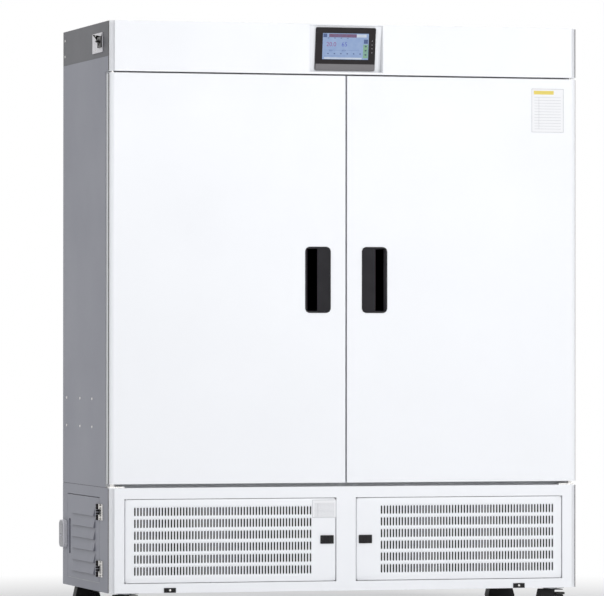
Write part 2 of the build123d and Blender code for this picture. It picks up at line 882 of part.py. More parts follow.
for name, side in sides.items():
    door_mid_x = door_spot(side, door_width / 2)
    free_x = door_spot(side, 0)
    hinge_edge_x = door_spot(side, door_width)
    handle_x = door_spot(side, handle_inset - door_gap_centre / 2 + handle_width / 2)
    pocket_width = handle_width - 2 * handle_flange_width
    pocket_height = handle_height - 2 * handle_flange_width

    with BuildPart() as door_skin:
        for inset, mode in ((0, Mode.ADD), (front_sheet, Mode.SUBTRACT)):
            shell_plan = folded_plan(
                free_x + side * inset,
                hinge_edge_x - side * inset,
                front_y + inset,
                pan_back_y,
                edge_radius - inset,
                door_bottom + inset,
            )
            extrude(shell_plan, amount=door_height - 2 * inset, mode=mode)
        with BuildSketch(Plane.XZ.offset(-front_y)):
            with Locations((handle_x, handle_centre_z)):
                Rectangle(pocket_width + handle_core_gap, pocket_height + handle_core_gap)
        extrude(amount=-front_sheet, mode=Mode.SUBTRACT)
    door_skin.part.label = f"{name}_door_skin"
    export_step(door_skin.part, f"parts/{name}_door_skin.step")

    with BuildPart() as door_core:
        core_free_x = free_x + side * (front_sheet + touch_gap)
        core_hinge_x = hinge_edge_x - side * (edge_radius + touch_gap)
        core_low = door_bottom + front_sheet + touch_gap
        extrude(
            plan_rectangle(core_free_x, core_hinge_x, front_y + front_sheet, pan_back_y, core_low),
            amount=door_top - front_sheet - touch_gap - core_low,
        )
        band_free_x = free_x + side * door_reveal
        band_hinge_x = hinge_edge_x - side * door_reveal
        extrude(
            plan_rectangle(band_free_x, band_hinge_x, pan_back_y, door_back_y, door_bottom + door_reveal),
            amount=door_height - 2 * door_reveal,
        )
        with BuildSketch(Plane.XZ.offset(-front_y)):
            with Locations((handle_x, handle_centre_z)):
                Rectangle(pocket_width + handle_core_gap, pocket_height + handle_core_gap)
        extrude(amount=-(handle_depth + handle_core_gap), mode=Mode.SUBTRACT)
        for bore_z, bore_depth in (
            (door_bottom, pivot_engagement + pivot_bore_play),
            (door_top, -pivot_engagement - pivot_bore_play),
        ):
            with BuildSketch(Plane.XY.offset(bore_z)):
                with Locations((side * pivot_x, pivot_y)):
                    Circle(pivot_radius + pivot_fit)
            extrude(amount=bore_depth, mode=Mode.SUBTRACT)
    door_core.part.label = f"{name}_door_core"
    export_step(door_core.part, f"parts/{name}_door_core.step")

    with BuildPart() as door_gasket:
        gasket_x_free = free_x + side * gasket_inset
        gasket_x_hinge = hinge_edge_x - side * gasket_hinge_inset
        gasket_x = (gasket_x_free + gasket_x_hinge) / 2
        gasket_span = abs(gasket_x_hinge - gasket_x_free)
        gasket_tall = door_height - 2 * gasket_inset
        gasket_z = (door_bottom + door_top) / 2
        with BuildSketch(Plane.XZ.offset(-door_back_y)):
            with Locations((gasket_x, gasket_z)):
                Rectangle(gasket_span, gasket_tall)
                Rectangle(gasket_span - 2 * gasket_width, gasket_tall - 2 * gasket_width, mode=Mode.SUBTRACT)
        extrude(amount=-(gasket_thickness - touch_gap))
        with BuildSketch(Plane.XZ.offset(-frame_y)):
            with Locations((gasket_x, gasket_z)):
                Rectangle(gasket_span, gasket_tall)
                Rectangle(gasket_span - gasket_width / 2, gasket_tall - gasket_width / 2, mode=Mode.SUBTRACT)
        extrude(amount=gasket_thickness / 2, mode=Mode.SUBTRACT)
    door_gasket.part.label = f"{name}_door_gasket"
    export_step(door_gasket.part, f"parts/{name}_door_gasket.step")

    with BuildPart() as door_handle:
        with BuildSketch(Plane.XZ.offset(-front_y)):
            with Locations((handle_x, handle_centre_z)):
                RectangleRounded(handle_width, handle_height, handle_radius)
        extrude(amount=handle_proud)
        with BuildSketch(Plane.XZ.offset(-front_y)):
            with Locations((handle_x, handle_centre_z)):
                Rectangle(pocket_width, pocket_height)
        extrude(amount=-handle_depth)
        with BuildSketch(Plane.XZ.offset(-front_y - handle_flange + handle_proud)):
            with Locations((handle_x, handle_centre_z)):
                Rectangle(pocket_width - 2 * handle_wall, pocket_height - 2 * handle_wall)
        extrude(amount=-(handle_depth - handle_flange - handle_wall + handle_proud), mode=Mode.SUBTRACT)
        window_x = handle_x + side * (pocket_width / 2 - handle_wall - handle_window / 2)
        with BuildSketch(Plane.XZ.offset(-front_y + handle_proud)):
            with Locations((window_x, handle_centre_z)):
                Rectangle(handle_window, pocket_height - 2 * handle_wall)
        extrude(amount=-handle_flange, mode=Mode.SUBTRACT)
    door_handle.part.label = f"{name}_door_handle"
    export_step(door_handle.part, f"parts/{name}_door_handle.step")

# Grille doors: a flanged sheet with six rows of windows, backed by a comb of upright slots
slot_columns = int((grille_width - slot_field_inset - slot_latch_margin) / slot_pitch)
slot_field = (slot_columns - 1) * slot_pitch + slot_width
slot_space = grille_height - slot_field_bottom - slot_field_head
slot_rows = int((slot_space - slot_height) / slot_row_pitch) + 1
slot_stack = (slot_rows - 1) * slot_row_pitch + slot_height
slot_mid_x = grille_inner_edge + grille_width - slot_field_inset + grille_gap - slot_field / 2
slot_mid_z = grille_low + slot_field_bottom + slot_stack / 2
for name, side in sides.items():
    grille_free_x = side * grille_inner_edge
    grille_hinge_x = side * (grille_inner_edge + grille_width)
    with BuildPart() as grille_door:
        for inset, mode in ((0, Mode.ADD), (front_sheet, Mode.SUBTRACT)):
            door_plan = folded_plan(
                grille_free_x + side * inset,
                grille_hinge_x - side * inset,
                front_y + inset,
                front_y + grille_flange,
                grille_pin_inset - inset,
                grille_low + inset,
            )
            extrude(door_plan, amount=grille_height - 2 * inset, mode=mode)
        with BuildSketch(Plane.XZ.offset(-front_y)):
            with Locations((side * slot_mid_x, slot_mid_z)):
                with GridLocations(0, slot_row_pitch, 1, slot_rows):
                    Rectangle(slot_field, slot_height)
        extrude(amount=-front_sheet, mode=Mode.SUBTRACT)
        with BuildSketch(Plane.XZ.offset(-front_y)):
            with Locations((side * (latch_x - latch_travel / 2), grille_mid_z)):
                Rectangle(latch_stem_width + latch_travel + 2 * touch_gap, latch_stem_height + 2 * touch_gap)
        extrude(amount=-front_sheet, mode=Mode.SUBTRACT)
        with BuildSketch(Plane.XY.offset(grille_low)):
            with Locations((side * grille_pin_x, grille_pin_y)):
                Circle(grille_pin_radius + shaft_fit)
        extrude(amount=grille_height, mode=Mode.SUBTRACT)
    with BuildPart() as grille_screen:
        with BuildSketch(Plane.XZ.offset(-front_y - front_sheet)):
            with Locations((side * slot_mid_x, slot_mid_z)):
                Rectangle(slot_field + 2 * screen_border, slot_stack + 2 * screen_border)
                with Locations((0, -screen_border)):
                    with GridLocations(slot_pitch, 0, slot_columns, 1):
                        Rectangle(slot_width, slot_stack + 2 * screen_border, mode=Mode.SUBTRACT)
        extrude(amount=-screen_sheet)
    grille = Compound([grille_door.part.solid(), grille_screen.part.solid()])
    grille.label = f"{name}_grille_door"
    export_step(grille, f"parts/{name}_grille_door.step")

    with BuildPart() as grille_latch:
        with BuildSketch(Plane.XZ.offset(-front_y)):
            with Locations((side * latch_x, grille_mid_z)):
                RectangleRounded(latch_width, latch_height, latch_corner)
        extrude(amount=latch_thickness)
        with BuildSketch(Plane.XZ.offset(-front_y)):
            with Locations((side * latch_x, grille_mid_z)):
                Rectangle(latch_stem_width, latch_stem_height)
        extrude(amount=-(tongue_y - front_y))
        with BuildSketch(Plane.XZ.offset(-front_y + latch_thickness)):
            with Locations((side * latch_x, grille_mid_z)):
                with GridLocations(latch_ridge_pitch, 0, latch_ridges, 1):
                    Rectangle(latch_ridge_width, latch_height - 2 * latch_ridge_margin)
        extrude(amount=latch_ridge_height)

    # The tongue is a flat bar fastened to the stem's end, behind the opening's flange
    tongue_low = grille_inner_edge + front_sheet + touch_gap
    tongue_length = latch_x + latch_stem_width / 2 - tongue_low
    with BuildPart() as latch_bar:
        with BuildSketch(Plane.XZ.offset(-tongue_y)):
            with Locations((side * (tongue_low + tongue_length / 2), grille_mid_z)):
                Rectangle(tongue_length, latch_tongue_height)
        extrude(amount=-latch_tongue)
    latch = Compound([grille_latch.part.solid(), latch_bar.part.solid()])
    latch.label = f"{name}_grille_latch"
    export_step(latch, f"parts/{name}_grille_latch.step")

# Switch plate with the breaker body, and its toggle
switch_mid_y = front_y + switch_front + switch_length / 2
switch_mid_z = height - switch_drop - switch_height / 2
breaker_mid_y = front_y + breaker_front + breaker_length / 2
toggle_x = -width / 2 - switch_thickness - breaker_proud + toggle_radius - toggle_stand
with BuildPart() as switch_plate:
    with BuildSketch(Plane.YZ.offset(-width / 2)):
        with Locations((switch_mid_y, switch_mid_z)):
            Rectangle(switch_length, switch_height)
    extrude(amount=-switch_thickness)
    with BuildSketch(Plane.YZ.offset(-width / 2 - switch_thickness)):
        with Locations((breaker_mid_y, switch_mid_z)):
            Rectangle(breaker_length, breaker_height)
    extrude(amount=-breaker_proud)
    with BuildSketch(Plane.XZ.offset(-breaker_mid_y)):
        with Locations((toggle_x, switch_mid_z)):
            Circle(toggle_radius + touch_gap)
            with Locations((-toggle_radius, 0)):
                Rectangle(2 * toggle_radius, 4 * toggle_radius)
    extrude(amount=toggle_width / 2 + touch_gap, both=True, mode=Mode.SUBTRACT)
switch_plate.part.label = "switch_plate"
export_step(switch_plate.part, "parts/switch_plate.step")

# Breaker toggle: a barrel with a lever that rests tilted up
with BuildPart() as breaker_toggle:
    with BuildSketch(Plane.XZ.offset(-breaker_mid_y)):
        with Locations((toggle_x, switch_mid_z)):
            Circle(toggle_radius)
            with Locations(Rotation(0, 0, -toggle_tilt)):
                with Locations((-(toggle_radius + toggle_length) / 2, 0)):
                    Rectangle(toggle_radius + toggle_length, toggle_thickness)
    extrude(amount=toggle_width / 2, both=True)
breaker_toggle.part.label = "breaker_toggle"
export_step(breaker_toggle.part, "parts/breaker_toggle.step")

# Outlet box: a housing with cut corners, and a lift-up flap on a pin in a recess of its face
outlet_mid_y = rear_y - outlet_rear - outlet_length / 2
outlet_low = base_z + outlet_bottom
outlet_high = outlet_low + outlet_height
outlet_face_x = -width / 2 - outlet_depth
flap_axis_x = outlet_face_x + flap_thickness / 2
flap_axis_z = outlet_high - flap_drop
recess_high = flap_axis_z + flap_thickness / 2 + touch_gap
recess_low = flap_axis_z - flap_height - touch_gap
with BuildPart() as outlet_box:
    with BuildSketch(Plane.YZ.offset(-width / 2)):
        with Locations((outlet_mid_y, (outlet_low + outlet_high) / 2)):
            Rectangle(outlet_length, outlet_height)
        chamfer(vertices(), outlet_corner)
    extrude(amount=-outlet_depth)
    chamfer(outlet_box.faces().sort_by(Axis.X)[0].edges(), outlet_chamfer)
    with BuildSketch(Plane.YZ.offset(outlet_face_x)):
        with Locations((outlet_mid_y, (recess_high + recess_low) / 2)):
            Rectangle(flap_length + 2 * touch_gap, recess_high - recess_low)
        with Locations((outlet_mid_y, recess_low)):
            Rectangle(flap_length / 2, 2 * finger_notch)
    extrude(amount=flap_thickness + touch_gap, mode=Mode.SUBTRACT)
    with BuildSketch(Plane.YZ.offset(outlet_face_x + flap_thickness)):
        with Locations((outlet_mid_y, (recess_high + recess_low) / 2)):
            Rectangle(socket_size, socket_size)
    extrude(amount=socket_depth, mode=Mode.SUBTRACT)
    with BuildSketch(Plane.XZ.offset(-outlet_mid_y)):
        with Locations((flap_axis_x, flap_axis_z)):
            Circle(flap_pin_radius)
    extrude(amount=flap_length / 2 + seam, both=True)
outlet_box.part.label = "outlet_box"
export_step(outlet_box.part, "parts/outlet_box.step")

with BuildPart() as outlet_flap:
    with BuildSketch(Plane.XZ.offset(-outlet_mid_y)):
        with Locations((flap_axis_x, flap_axis_z)):
            Circle(flap_thickness / 2)
            with Locations((0, -flap_height / 2)):
                Rectangle(flap_thickness, flap_height)
            Circle(flap_pin_radius + shaft_fit, mode=Mode.SUBTRACT)
    extrude(amount=flap_length / 2, both=True)
outlet_flap.part.label = "outlet_flap"
export_step(outlet_flap.part, "parts/outlet_flap.step")

# Air-duct covers: pans at the back of each chamber with a fan hole and return slots
liner_back_y = chamber_back_y - liner
duct_front_y = liner_back_y - duct_depth
duct_width = chamber_width - 2 * duct_margin
duct_low = chamber_floor + duct_end_margin
duct_high = chamber_roof - duct_end_margin
with BuildPart() as duct_covers:
    for side in sides.values():
        for inset, mode in ((0, Mode.ADD), (sheet, Mode.SUBTRACT)):
            with BuildSketch(Plane.XZ.offset(-duct_front_y - inset)):
                with Locations((side * chamber_x, (duct_low + duct_high) / 2)):
                    Rectangle(duct_width - 2 * inset, duct_high - duct_low - 2 * inset)
            extrude(amount=-(duct_depth - inset), mode=mode)
        with BuildSketch(Plane.XZ.offset(-duct_front_y)):
            with Locations((side * chamber_x, fan_height)):
                RegularPolygon(fan_hole_radius, collar_sides)
            with Locations((side * chamber_x, duct_low + duct_slot_bottom)):
                with GridLocations(duct_slot_pitch_x, duct_slot_pitch_z, duct_slot_columns, duct_slot_rows):
                    Rectangle(duct_slot_length, duct_slot_height)
        extrude(amount=-sheet, mode=Mode.SUBTRACT)
duct_covers.part.label = "duct_covers"
export_step(duct_covers.part, "parts/duct_covers.step")

# Evaporators: finned blocks on the back wall of each duct
with BuildPart() as evaporators:
    for side in sides.values():
        evaporator_z = evaporator_low + evaporator_height / 2
        with BuildSketch(Plane.XZ.offset(-liner_back_y)):
            with Locations((side * chamber_x, evaporator_z)):
                Rectangle(evaporator_width, evaporator_height)
        extrude(amount=evaporator_depth)
        with BuildSketch(Plane.XZ.offset(-liner_back_y + evaporator_depth)):
            with Locations((side * chamber_x, evaporator_z)):
                with GridLocations(evaporator_width / evaporator_grooves, 0, evaporator_grooves, 1):
                    Rectangle(evaporator_width / evaporator_grooves / 2, evaporator_height)
        extrude(amount=-evaporator_depth / 4, mode=Mode.SUBTRACT)
evaporators.part.label = "evaporators"
export_step(evaporators.part, "parts/evaporators.step")


def fan_rotor(x, y_low, z, radius):
    """An axial fan: a bored hub with pitched blades, its axis along Y."""
    middle_y = y_low + fan_depth / 2
    blade_root = fan_hub_radius - fan_blade_thickness
    with BuildPart() as rotor:
        with BuildSketch(Plane.XZ.offset(-y_low)):
            with Locations((x, z)):
                RegularPolygon(fan_hub_radius, fan_hub_sides)
        extrude(amount=-fan_depth)
        for blade in range(fan_blades):
            turn = radians(blade * 360 / fan_blades + 90)
            pitch = radians(fan_pitch)
            blade_plane = Plane(
                origin=(x, middle_y, z),
                x_dir=(cos(turn), 0, sin(turn)),
                z_dir=(-sin(turn) * sin(pitch), cos(pitch), cos(turn) * sin(pitch)),
            )
            tip_x = (radius**2 - (fan_chord / 2) ** 2) ** 0.5
            with BuildSketch(blade_plane):
                with BuildLine():
                    Polyline(
                        (blade_root, -fan_chord / 4),
                        (blade_root, fan_chord / 4),
                        (tip_x, fan_chord / 2),
                        (radius, 0),
                        (tip_x, -fan_chord / 2),
                        close=True,
                    )
                make_face()
            extrude(amount=fan_blade_thickness / 2, both=True)
        with BuildSketch(Plane.XZ.offset(-y_low)):
            with Locations((x, z)):
                Circle(shaft_radius + shaft_fit)
        extrude(amount=-fan_depth, mode=Mode.SUBTRACT)
    return rotor.part


chamber_fan_y = duct_front_y + fan_setback
condenser_front_y = front_y + condenser_front
condenser_back_y = condenser_front_y + condenser_depth
condenser_mid_z = tray_floor_z + condenser_height / 2
collar_back_y = condenser_back_y + collar_depth
condenser_fan_y = collar_back_y - fan_depth - motor_gap
for name, side in sides.items():
    chamber_fan = fan_rotor(side * chamber_x, chamber_fan_y, fan_height, fan_radius)
    chamber_fan.label = f"{name}_chamber_fan"
    export_step(chamber_fan, f"parts/{name}_chamber_fan.step")
    condenser_fan = fan_rotor(side * condenser_x, condenser_fan_y, condenser_mid_z, condenser_fan_radius)
    condenser_fan.label = f"{name}_condenser_fan"
    export_step(condenser_fan, f"parts/{name}_condenser_fan.step")

# Fan motors: two on the back walls of the chambers, two on arms behind the condenser collars
with BuildPart() as fan_motors:
    for side in sides.values():
        for motor_x, motor_z, motor_front_y, motor_back_y in (
            (side * chamber_x, fan_height, chamber_fan_y + fan_depth + motor_gap, liner_back_y),
            (side * condenser_x, condenser_mid_z, collar_back_y, collar_back_y + condenser_motor_length),
        ):
            with BuildSketch(Plane.XZ.offset(-motor_front_y)):
                with Locations((motor_x, motor_z)):
                    RegularPolygon(motor_radius, motor_sides)
            extrude(amount=motor_front_y - motor_back_y)
            with BuildSketch(Plane.XZ.offset(-motor_front_y)):
                with Locations((motor_x, motor_z)):
                    Circle(shaft_radius)
            extrude(amount=shaft_reach + motor_gap)
        with BuildSketch(Plane.XZ.offset(-collar_back_y)):
            with Locations((side * condenser_x, condenser_mid_z)):
                with PolarLocations((motor_radius + collar_radius + collar_wall) / 2, 3, 90):
                    Rectangle(collar_radius + collar_wall - motor_radius + 2 * motor_arm_overlap, motor_arm)
        extrude(amount=-motor_arm_thickness)
fan_motors.part.label = "fan_motors"
export_step(fan_motors.part, "parts/fan_motors.step")

# Condensers: finned frames behind the grilles, with a round fan collar at the back
with BuildPart() as condensers:
    for side in sides.values():
        with BuildSketch(Plane.XZ.offset(-condenser_front_y)):
            with Locations((side * condenser_x, condenser_mid_z)):
                Rectangle(condenser_width, condenser_height)
                Rectangle(
                    condenser_width - 2 * condenser_wall,
                    condenser_height - 2 * condenser_wall,
                    mode=Mode.SUBTRACT,
                )
                with GridLocations(condenser_width / condenser_fins, 0, condenser_fins, 1):
                    Rectangle(condenser_fin, condenser_height - condenser_wall)
        extrude(amount=-condenser_depth)
        with BuildSketch(Plane.XZ.offset(-condenser_back_y)):
            with Locations((side * condenser_x, condenser_mid_z)):
                Rectangle(condenser_width, condenser_height)
                RegularPolygon(collar_radius, collar_sides, mode=Mode.SUBTRACT)
        extrude(amount=-sheet)
        with BuildSketch(Plane.XZ.offset(-condenser_back_y)):
            with Locations((side * condenser_x, condenser_mid_z)):
                RegularPolygon(collar_radius + collar_wall, collar_sides)
                RegularPolygon(collar_radius, collar_sides, mode=Mode.SUBTRACT)
        extrude(amount=-collar_depth)
condensers.part.label = "condensers"
export_step(condensers.part, "parts/condensers.step")

# Compressors: domed hermetic shells on a plate with four rubber feet
compressor_low = tray_floor_z + compressor_foot + compressor_plate
compressor_high = compressor_low + compressor_height
compressor_wall = compressor_height - compressor_dome - compressor_foot
with BuildPart() as compressors:
    for side in sides.values():
        for level, amount, taper in (
            (compressor_low + compressor_foot, compressor_wall, 0),
            (compressor_high - compressor_dome, compressor_dome, compressor_taper),
            (compressor_low + compressor_foot, -compressor_foot, compressor_taper),
        ):
            with BuildSketch(Plane.XY.offset(level)):
                with Locations((side * compressor_x, compressor_y)):
                    RegularPolygon(compressor_radius, compressor_sides)
            extrude(amount=amount, taper=taper)
        with BuildSketch(Plane.XY.offset(compressor_low - compressor_plate)):
            with Locations((side * compressor_x, compressor_y)):
                Rectangle(compressor_plate_length, compressor_plate_width)
        extrude(amount=compressor_plate)
        with BuildSketch(Plane.XY.offset(tray_floor_z)):
            with Locations((side * compressor_x, compressor_y)):
                with GridLocations(
                    compressor_plate_length - compressor_foot_size,
                    compressor_plate_width - compressor_foot_size,
                    2,
                    2,
                ):
                    Rectangle(compressor_foot_size, compressor_foot_size)
        extrude(amount=compressor_foot)
compressors.part.label = "compressors"
export_step(compressors.part, "parts/compressors.step")

# Shelf rails with hooks, four to a chamber, and wire shelves resting on the hooks
shelf_front_y = frame_y + shelf_front_gap
shelf_back_y = duct_front_y - shelf_rear_gap
shelf_levels = [shelf_first + shelf_pitch * index for index in range(shelf_count)]
rail_ys = (frame_y + rail_inset, duct_front_y - rail_inset)
wall_half = chamber_width / 2 - liner
with BuildPart() as shelf_rails:
    for side in sides.values():
        for wall in sides.values():
            rail_x = side * chamber_x + wall * (wall_half - rail_thickness / 2)
            hook_x = side * chamber_x + wall * (wall_half - rail_thickness - hook_reach / 2)
            with BuildSketch(Plane.XY.offset(chamber_floor + rail_margin)):
                with Locations(*[(rail_x, rail_y) for rail_y in rail_ys]):
                    Rectangle(rail_thickness, rail_width)
            extrude(amount=chamber_height - 2 * rail_margin)
            for level in shelf_levels:
                with BuildSketch(Plane.XY.offset(level - hook_height)):
                    with Locations(*[(hook_x, rail_y) for rail_y in rail_ys]):
                        Rectangle(hook_reach, rail_width / 2)
                extrude(amount=hook_height)
shelf_rails.part.label = "shelf_rails"
export_step(shelf_rails.part, "parts/shelf_rails.step")

shelf_width = 2 * (wall_half - rail_thickness - shelf_play)
shelf_length = shelf_back_y - shelf_front_y
with BuildPart() as shelves:
    for level in shelf_levels:
        for side in sides.values():
            with BuildSketch(Plane.XY.offset(level)):
                with Locations((side * chamber_x, (shelf_front_y + shelf_back_y) / 2)):
                    Rectangle(shelf_width, shelf_length)
                    Rectangle(shelf_width - 2 * shelf_rod, shelf_length - 2 * shelf_rod, mode=Mode.SUBTRACT)
                    with GridLocations(shelf_width / shelf_wires, 0, shelf_wires, 1):
                        Rectangle(shelf_wire, shelf_length - shelf_rod)
            extrude(amount=shelf_rod)
shelves.part.label = "shelves"
export_step(shelves.part, "parts/shelves.step")

# Casters: fixed plates with race and kingpin, then a housing, a wheel and a levelling pad at each corner
caster_spots = {
    "front_left": (-caster_x, front_y + caster_front),
    "front_right": (caster_x, front_y + caster_front),
    "rear_left": (-caster_x, rear_y - caster_rear),
    "rear_right": (caster_x, rear_y - caster_rear),
}
race_z = base_z - caster_plate_thickness
housing_top = race_z - race_height - swivel_gap
with BuildPart() as caster_plates:
    with BuildSketch(Plane.XY.offset(base_z)):
        with Locations(*caster_spots.values()):
            Rectangle(caster_plate, caster_plate)
    extrude(amount=-caster_plate_thickness)
    with BuildSketch(Plane.XY.offset(race_z)):
        with Locations(*caster_spots.values()):
            RegularPolygon(race_radius, race_sides)
    extrude(amount=-race_height)
    with BuildSketch(Plane.XY.offset(race_z - race_height)):
        with Locations(*caster_spots.values()):
            Circle(kingpin_radius)
    extrude(amount=-kingpin_length)
caster_plates.part.label = "caster_plates"
export_step(caster_plates.part, "parts/caster_plates.step")

wheel_z = wheel_lift + wheel_radius
housing_waist = base_z - housing_neck
thumbwheel_z = housing_waist + thumbwheel_play
well_half = housing_width / 2 - housing_cheek
well_radius = wheel_radius + well_play
slot_low = housing_waist
slot_high = thumbwheel_z + thumbwheel_thickness + pad_lift + thumbwheel_play
for name, (x, y) in caster_spots.items():
    with BuildPart() as housing:
        with BuildSketch(Plane.XZ.offset(-y)):
            with BuildLine():
                Polyline(
                    (x + housing_back, housing_top),
                    (x + housing_front, housing_top),
                    (x + housing_front, housing_waist),
                    (x + housing_front + housing_flare, housing_shoulder),
                    (x + housing_front + housing_flare, housing_low),
                    (x + wheel_offset + well_radius, housing_low),
                    (x + wheel_offset, wheel_z - 3 * axle_radius),
                    (x + wheel_offset - well_radius, housing_low),
                    (x + housing_back - housing_flare - heel, housing_shoulder),
                    close=True,
                )
            make_face()
        extrude(amount=housing_width / 2, both=True)
        with BuildSketch(Plane.XZ.offset(-y)):
            with BuildLine():
                Polyline(
                    (x + wheel_offset - well_radius, 0),
                    (x + wheel_offset - well_radius, wheel_z + well_rear),
                    (x + wheel_offset - well_roof / 2, wheel_z + well_radius),
                    (x + wheel_offset + well_roof / 2, wheel_z + well_radius),
                    (x + wheel_offset + well_radius, wheel_z + well_front),
                    (x + wheel_offset + well_radius, 0),
                    close=True,
                )
            make_face()
        extrude(amount=well_half, both=True, mode=Mode.SUBTRACT)
        with BuildSketch(Plane.XZ.offset(-y)):
            with Locations((x + neck_edge + housing_front, (slot_low + slot_high) / 2)):
                Rectangle(2 * housing_front, slot_high - slot_low)
        extrude(amount=housing_width, both=True, mode=Mode.SUBTRACT)
        with BuildSketch(Plane.XY):
            with Locations((x + stem_offset, y)):
                Circle(stem_radius + swivel_fit)
        extrude(amount=slot_low, mode=Mode.SUBTRACT)
        with BuildSketch(Plane.XY.offset(housing_top)):
            with Locations((x, y)):
                Circle(kingpin_radius + swivel_fit)
        extrude(amount=-kingpin_length, mode=Mode.SUBTRACT)
        with BuildSketch(Plane.XZ.offset(-y)):
            with Locations((x + wheel_offset, wheel_z)):
                Circle(axle_radius)
        extrude(amount=well_half + seam, both=True)
    housing.part.label = f"{name}_caster_housing"
    export_step(housing.part, f"parts/{name}_caster_housing.step")

    with BuildPart() as wheel:
        with BuildSketch(Plane.XZ.offset(-y)):
            with Locations((x + wheel_offset, wheel_z)):
                RegularPolygon(wheel_radius, wheel_sides)
                Circle(axle_radius + swivel_fit, mode=Mode.SUBTRACT)
        extrude(amount=wheel_width / 2, both=True)
    wheel.part.label = f"{name}_caster_wheel"
    export_step(wheel.part, f"parts/{name}_caster_wheel.step")

    with BuildPart() as leveller:
        with BuildSketch(Plane.XY):
            with Locations((x + stem_offset, y)):
                RegularPolygon(pad_radius, pad_sides)
        extrude(amount=pad_thickness)
        with BuildSketch(Plane.XY.offset(pad_thickness)):
            with Locations((x + stem_offset, y)):
                Circle(stem_radius)
        extrude(amount=thumbwheel_z - pad_thickness)
        with BuildSketch(Plane.XY.offset(thumbwheel_z)):
            with Locations((x + stem_offset, y)):
                RegularPolygon(thumbwheel_radius, thumbwheel_lobes)
        extrude(amount=thumbwheel_thickness)
    leveller.part.label = f"{name}_caster_leveller"
    export_step(leveller.part, f"parts/{name}_caster_leveller.step")
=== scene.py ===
"""Dual-chamber incubator: finishes, small fittings, studio and camera.

Metres, in the cabinet's own frame: X to the right, Y to the back, Z up, the doors face -Y.
"""

from math import cos, pi, radians, sin

import bmesh
import bpy
from mathutils import Matrix, Vector


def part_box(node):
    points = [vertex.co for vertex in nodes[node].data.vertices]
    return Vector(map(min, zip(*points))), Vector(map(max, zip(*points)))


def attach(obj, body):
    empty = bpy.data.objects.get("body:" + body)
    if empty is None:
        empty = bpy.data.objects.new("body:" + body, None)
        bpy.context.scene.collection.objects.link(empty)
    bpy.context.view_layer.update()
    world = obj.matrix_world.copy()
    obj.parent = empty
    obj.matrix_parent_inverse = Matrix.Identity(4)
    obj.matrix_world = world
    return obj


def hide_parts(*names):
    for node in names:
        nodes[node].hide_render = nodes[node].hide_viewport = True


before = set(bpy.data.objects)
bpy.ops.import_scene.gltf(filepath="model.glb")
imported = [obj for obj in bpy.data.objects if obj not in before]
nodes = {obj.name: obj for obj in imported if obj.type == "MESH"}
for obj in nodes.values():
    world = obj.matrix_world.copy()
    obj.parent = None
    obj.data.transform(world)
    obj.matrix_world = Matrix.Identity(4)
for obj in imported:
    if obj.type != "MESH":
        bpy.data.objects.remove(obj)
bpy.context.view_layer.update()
sides = {"left": -1, "right": 1}
corners = [f"{end}_{name}" for end in ("front", "rear") for name in sides]

# Photograph and camera
photo_width = 604
focal_pixels = 4837.6
sensor_width = 36.0
camera_place = Vector((-4.3495, -15.237, 0.8958))
camera_yaw = -15.7418
camera_pitch = 0.4634
camera_roll = -0.0312

# Levels and planes of the cabinet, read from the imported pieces
front_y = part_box("header_panel")[0].y
rear_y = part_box("rear_panel")[1].y
half_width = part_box("header_panel")[1].x
base_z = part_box("base_front_panel")[0].z
base_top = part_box("base_front_panel")[1].z
top_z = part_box("top_cover")[1].z
skirt_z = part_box("top_cover")[0].z


def seen(red, green, blue):
    """A colour given as it is seen, 0 to 255, turned into the linear values that a shader takes."""
    values = []
    for level in (red, green, blue):
        share = level / 255
        values.append(share / 12.92 if share <= 0.04045 else ((share + 0.055) / 1.055) ** 2.4)
    return (*values, 1.0)


def put(tree, kind, inputs=None, **settings):
    """A shader node with its settings; an input is a value or another node's output."""
    node = tree.nodes.new(kind)
    for key, value in settings.items():
        setattr(node, key, value)
    for key, value in (inputs or {}).items():
        if isinstance(value, bpy.types.NodeSocket):
            tree.links.new(value, node.inputs[key])
        else:
            node.inputs[key].default_value = value
    return node


def math(tree, operation, one, two=0.0, clamp=False):
    """The result of a math node."""
    return put(tree, "ShaderNodeMath", {0: one, 1: two}, operation=operation, use_clamp=clamp).outputs[0]


def spread(tree, value, low, high, to_low, to_high):
    """A value mapped from one range to another and held inside it."""
    inputs = {"Value": value, "From Min": low, "From Max": high, "To Min": to_low, "To Max": to_high}
    return put(tree, "ShaderNodeMapRange", inputs).outputs[0]


def vector_math(tree, operation, one, two=(0, 0, 0), output="Vector"):
    """The result of a vector math node."""
    return put(tree, "ShaderNodeVectorMath", {0: one, 1: two}, operation=operation).outputs[output]


def voronoi(tree, vector, scale, output="Distance"):
    """An output of a cell pattern."""
    return put(tree, "ShaderNodeTexVoronoi", {"Vector": vector, "Scale": scale}).outputs[output]


def noise(tree, vector, scale, detail=3.0, roughness=0.55):
    """The 0 to 1 output of a noise node."""
    inputs = {"Vector": vector, "Scale": scale, "Detail": detail, "Roughness": roughness}
    return put(tree, "ShaderNodeTexNoise", inputs).outputs[0]


def blend_colour(tree, factor, one, two, mode="MIX"):
    """A mix of two colours."""
    node = put(tree, "ShaderNodeMix", data_type="RGBA", blend_type=mode)
    for key, value in ((0, factor), (6, one), (7, two)):
        if isinstance(value, bpy.types.NodeSocket):
            tree.links.new(value, node.inputs[key])
        else:
            node.inputs[key].default_value = value
    return node.outputs[2]


def place(tree):
    """The position on the piece, in metres."""
    return put(tree, "ShaderNodeTexCoord").outputs["Object"]


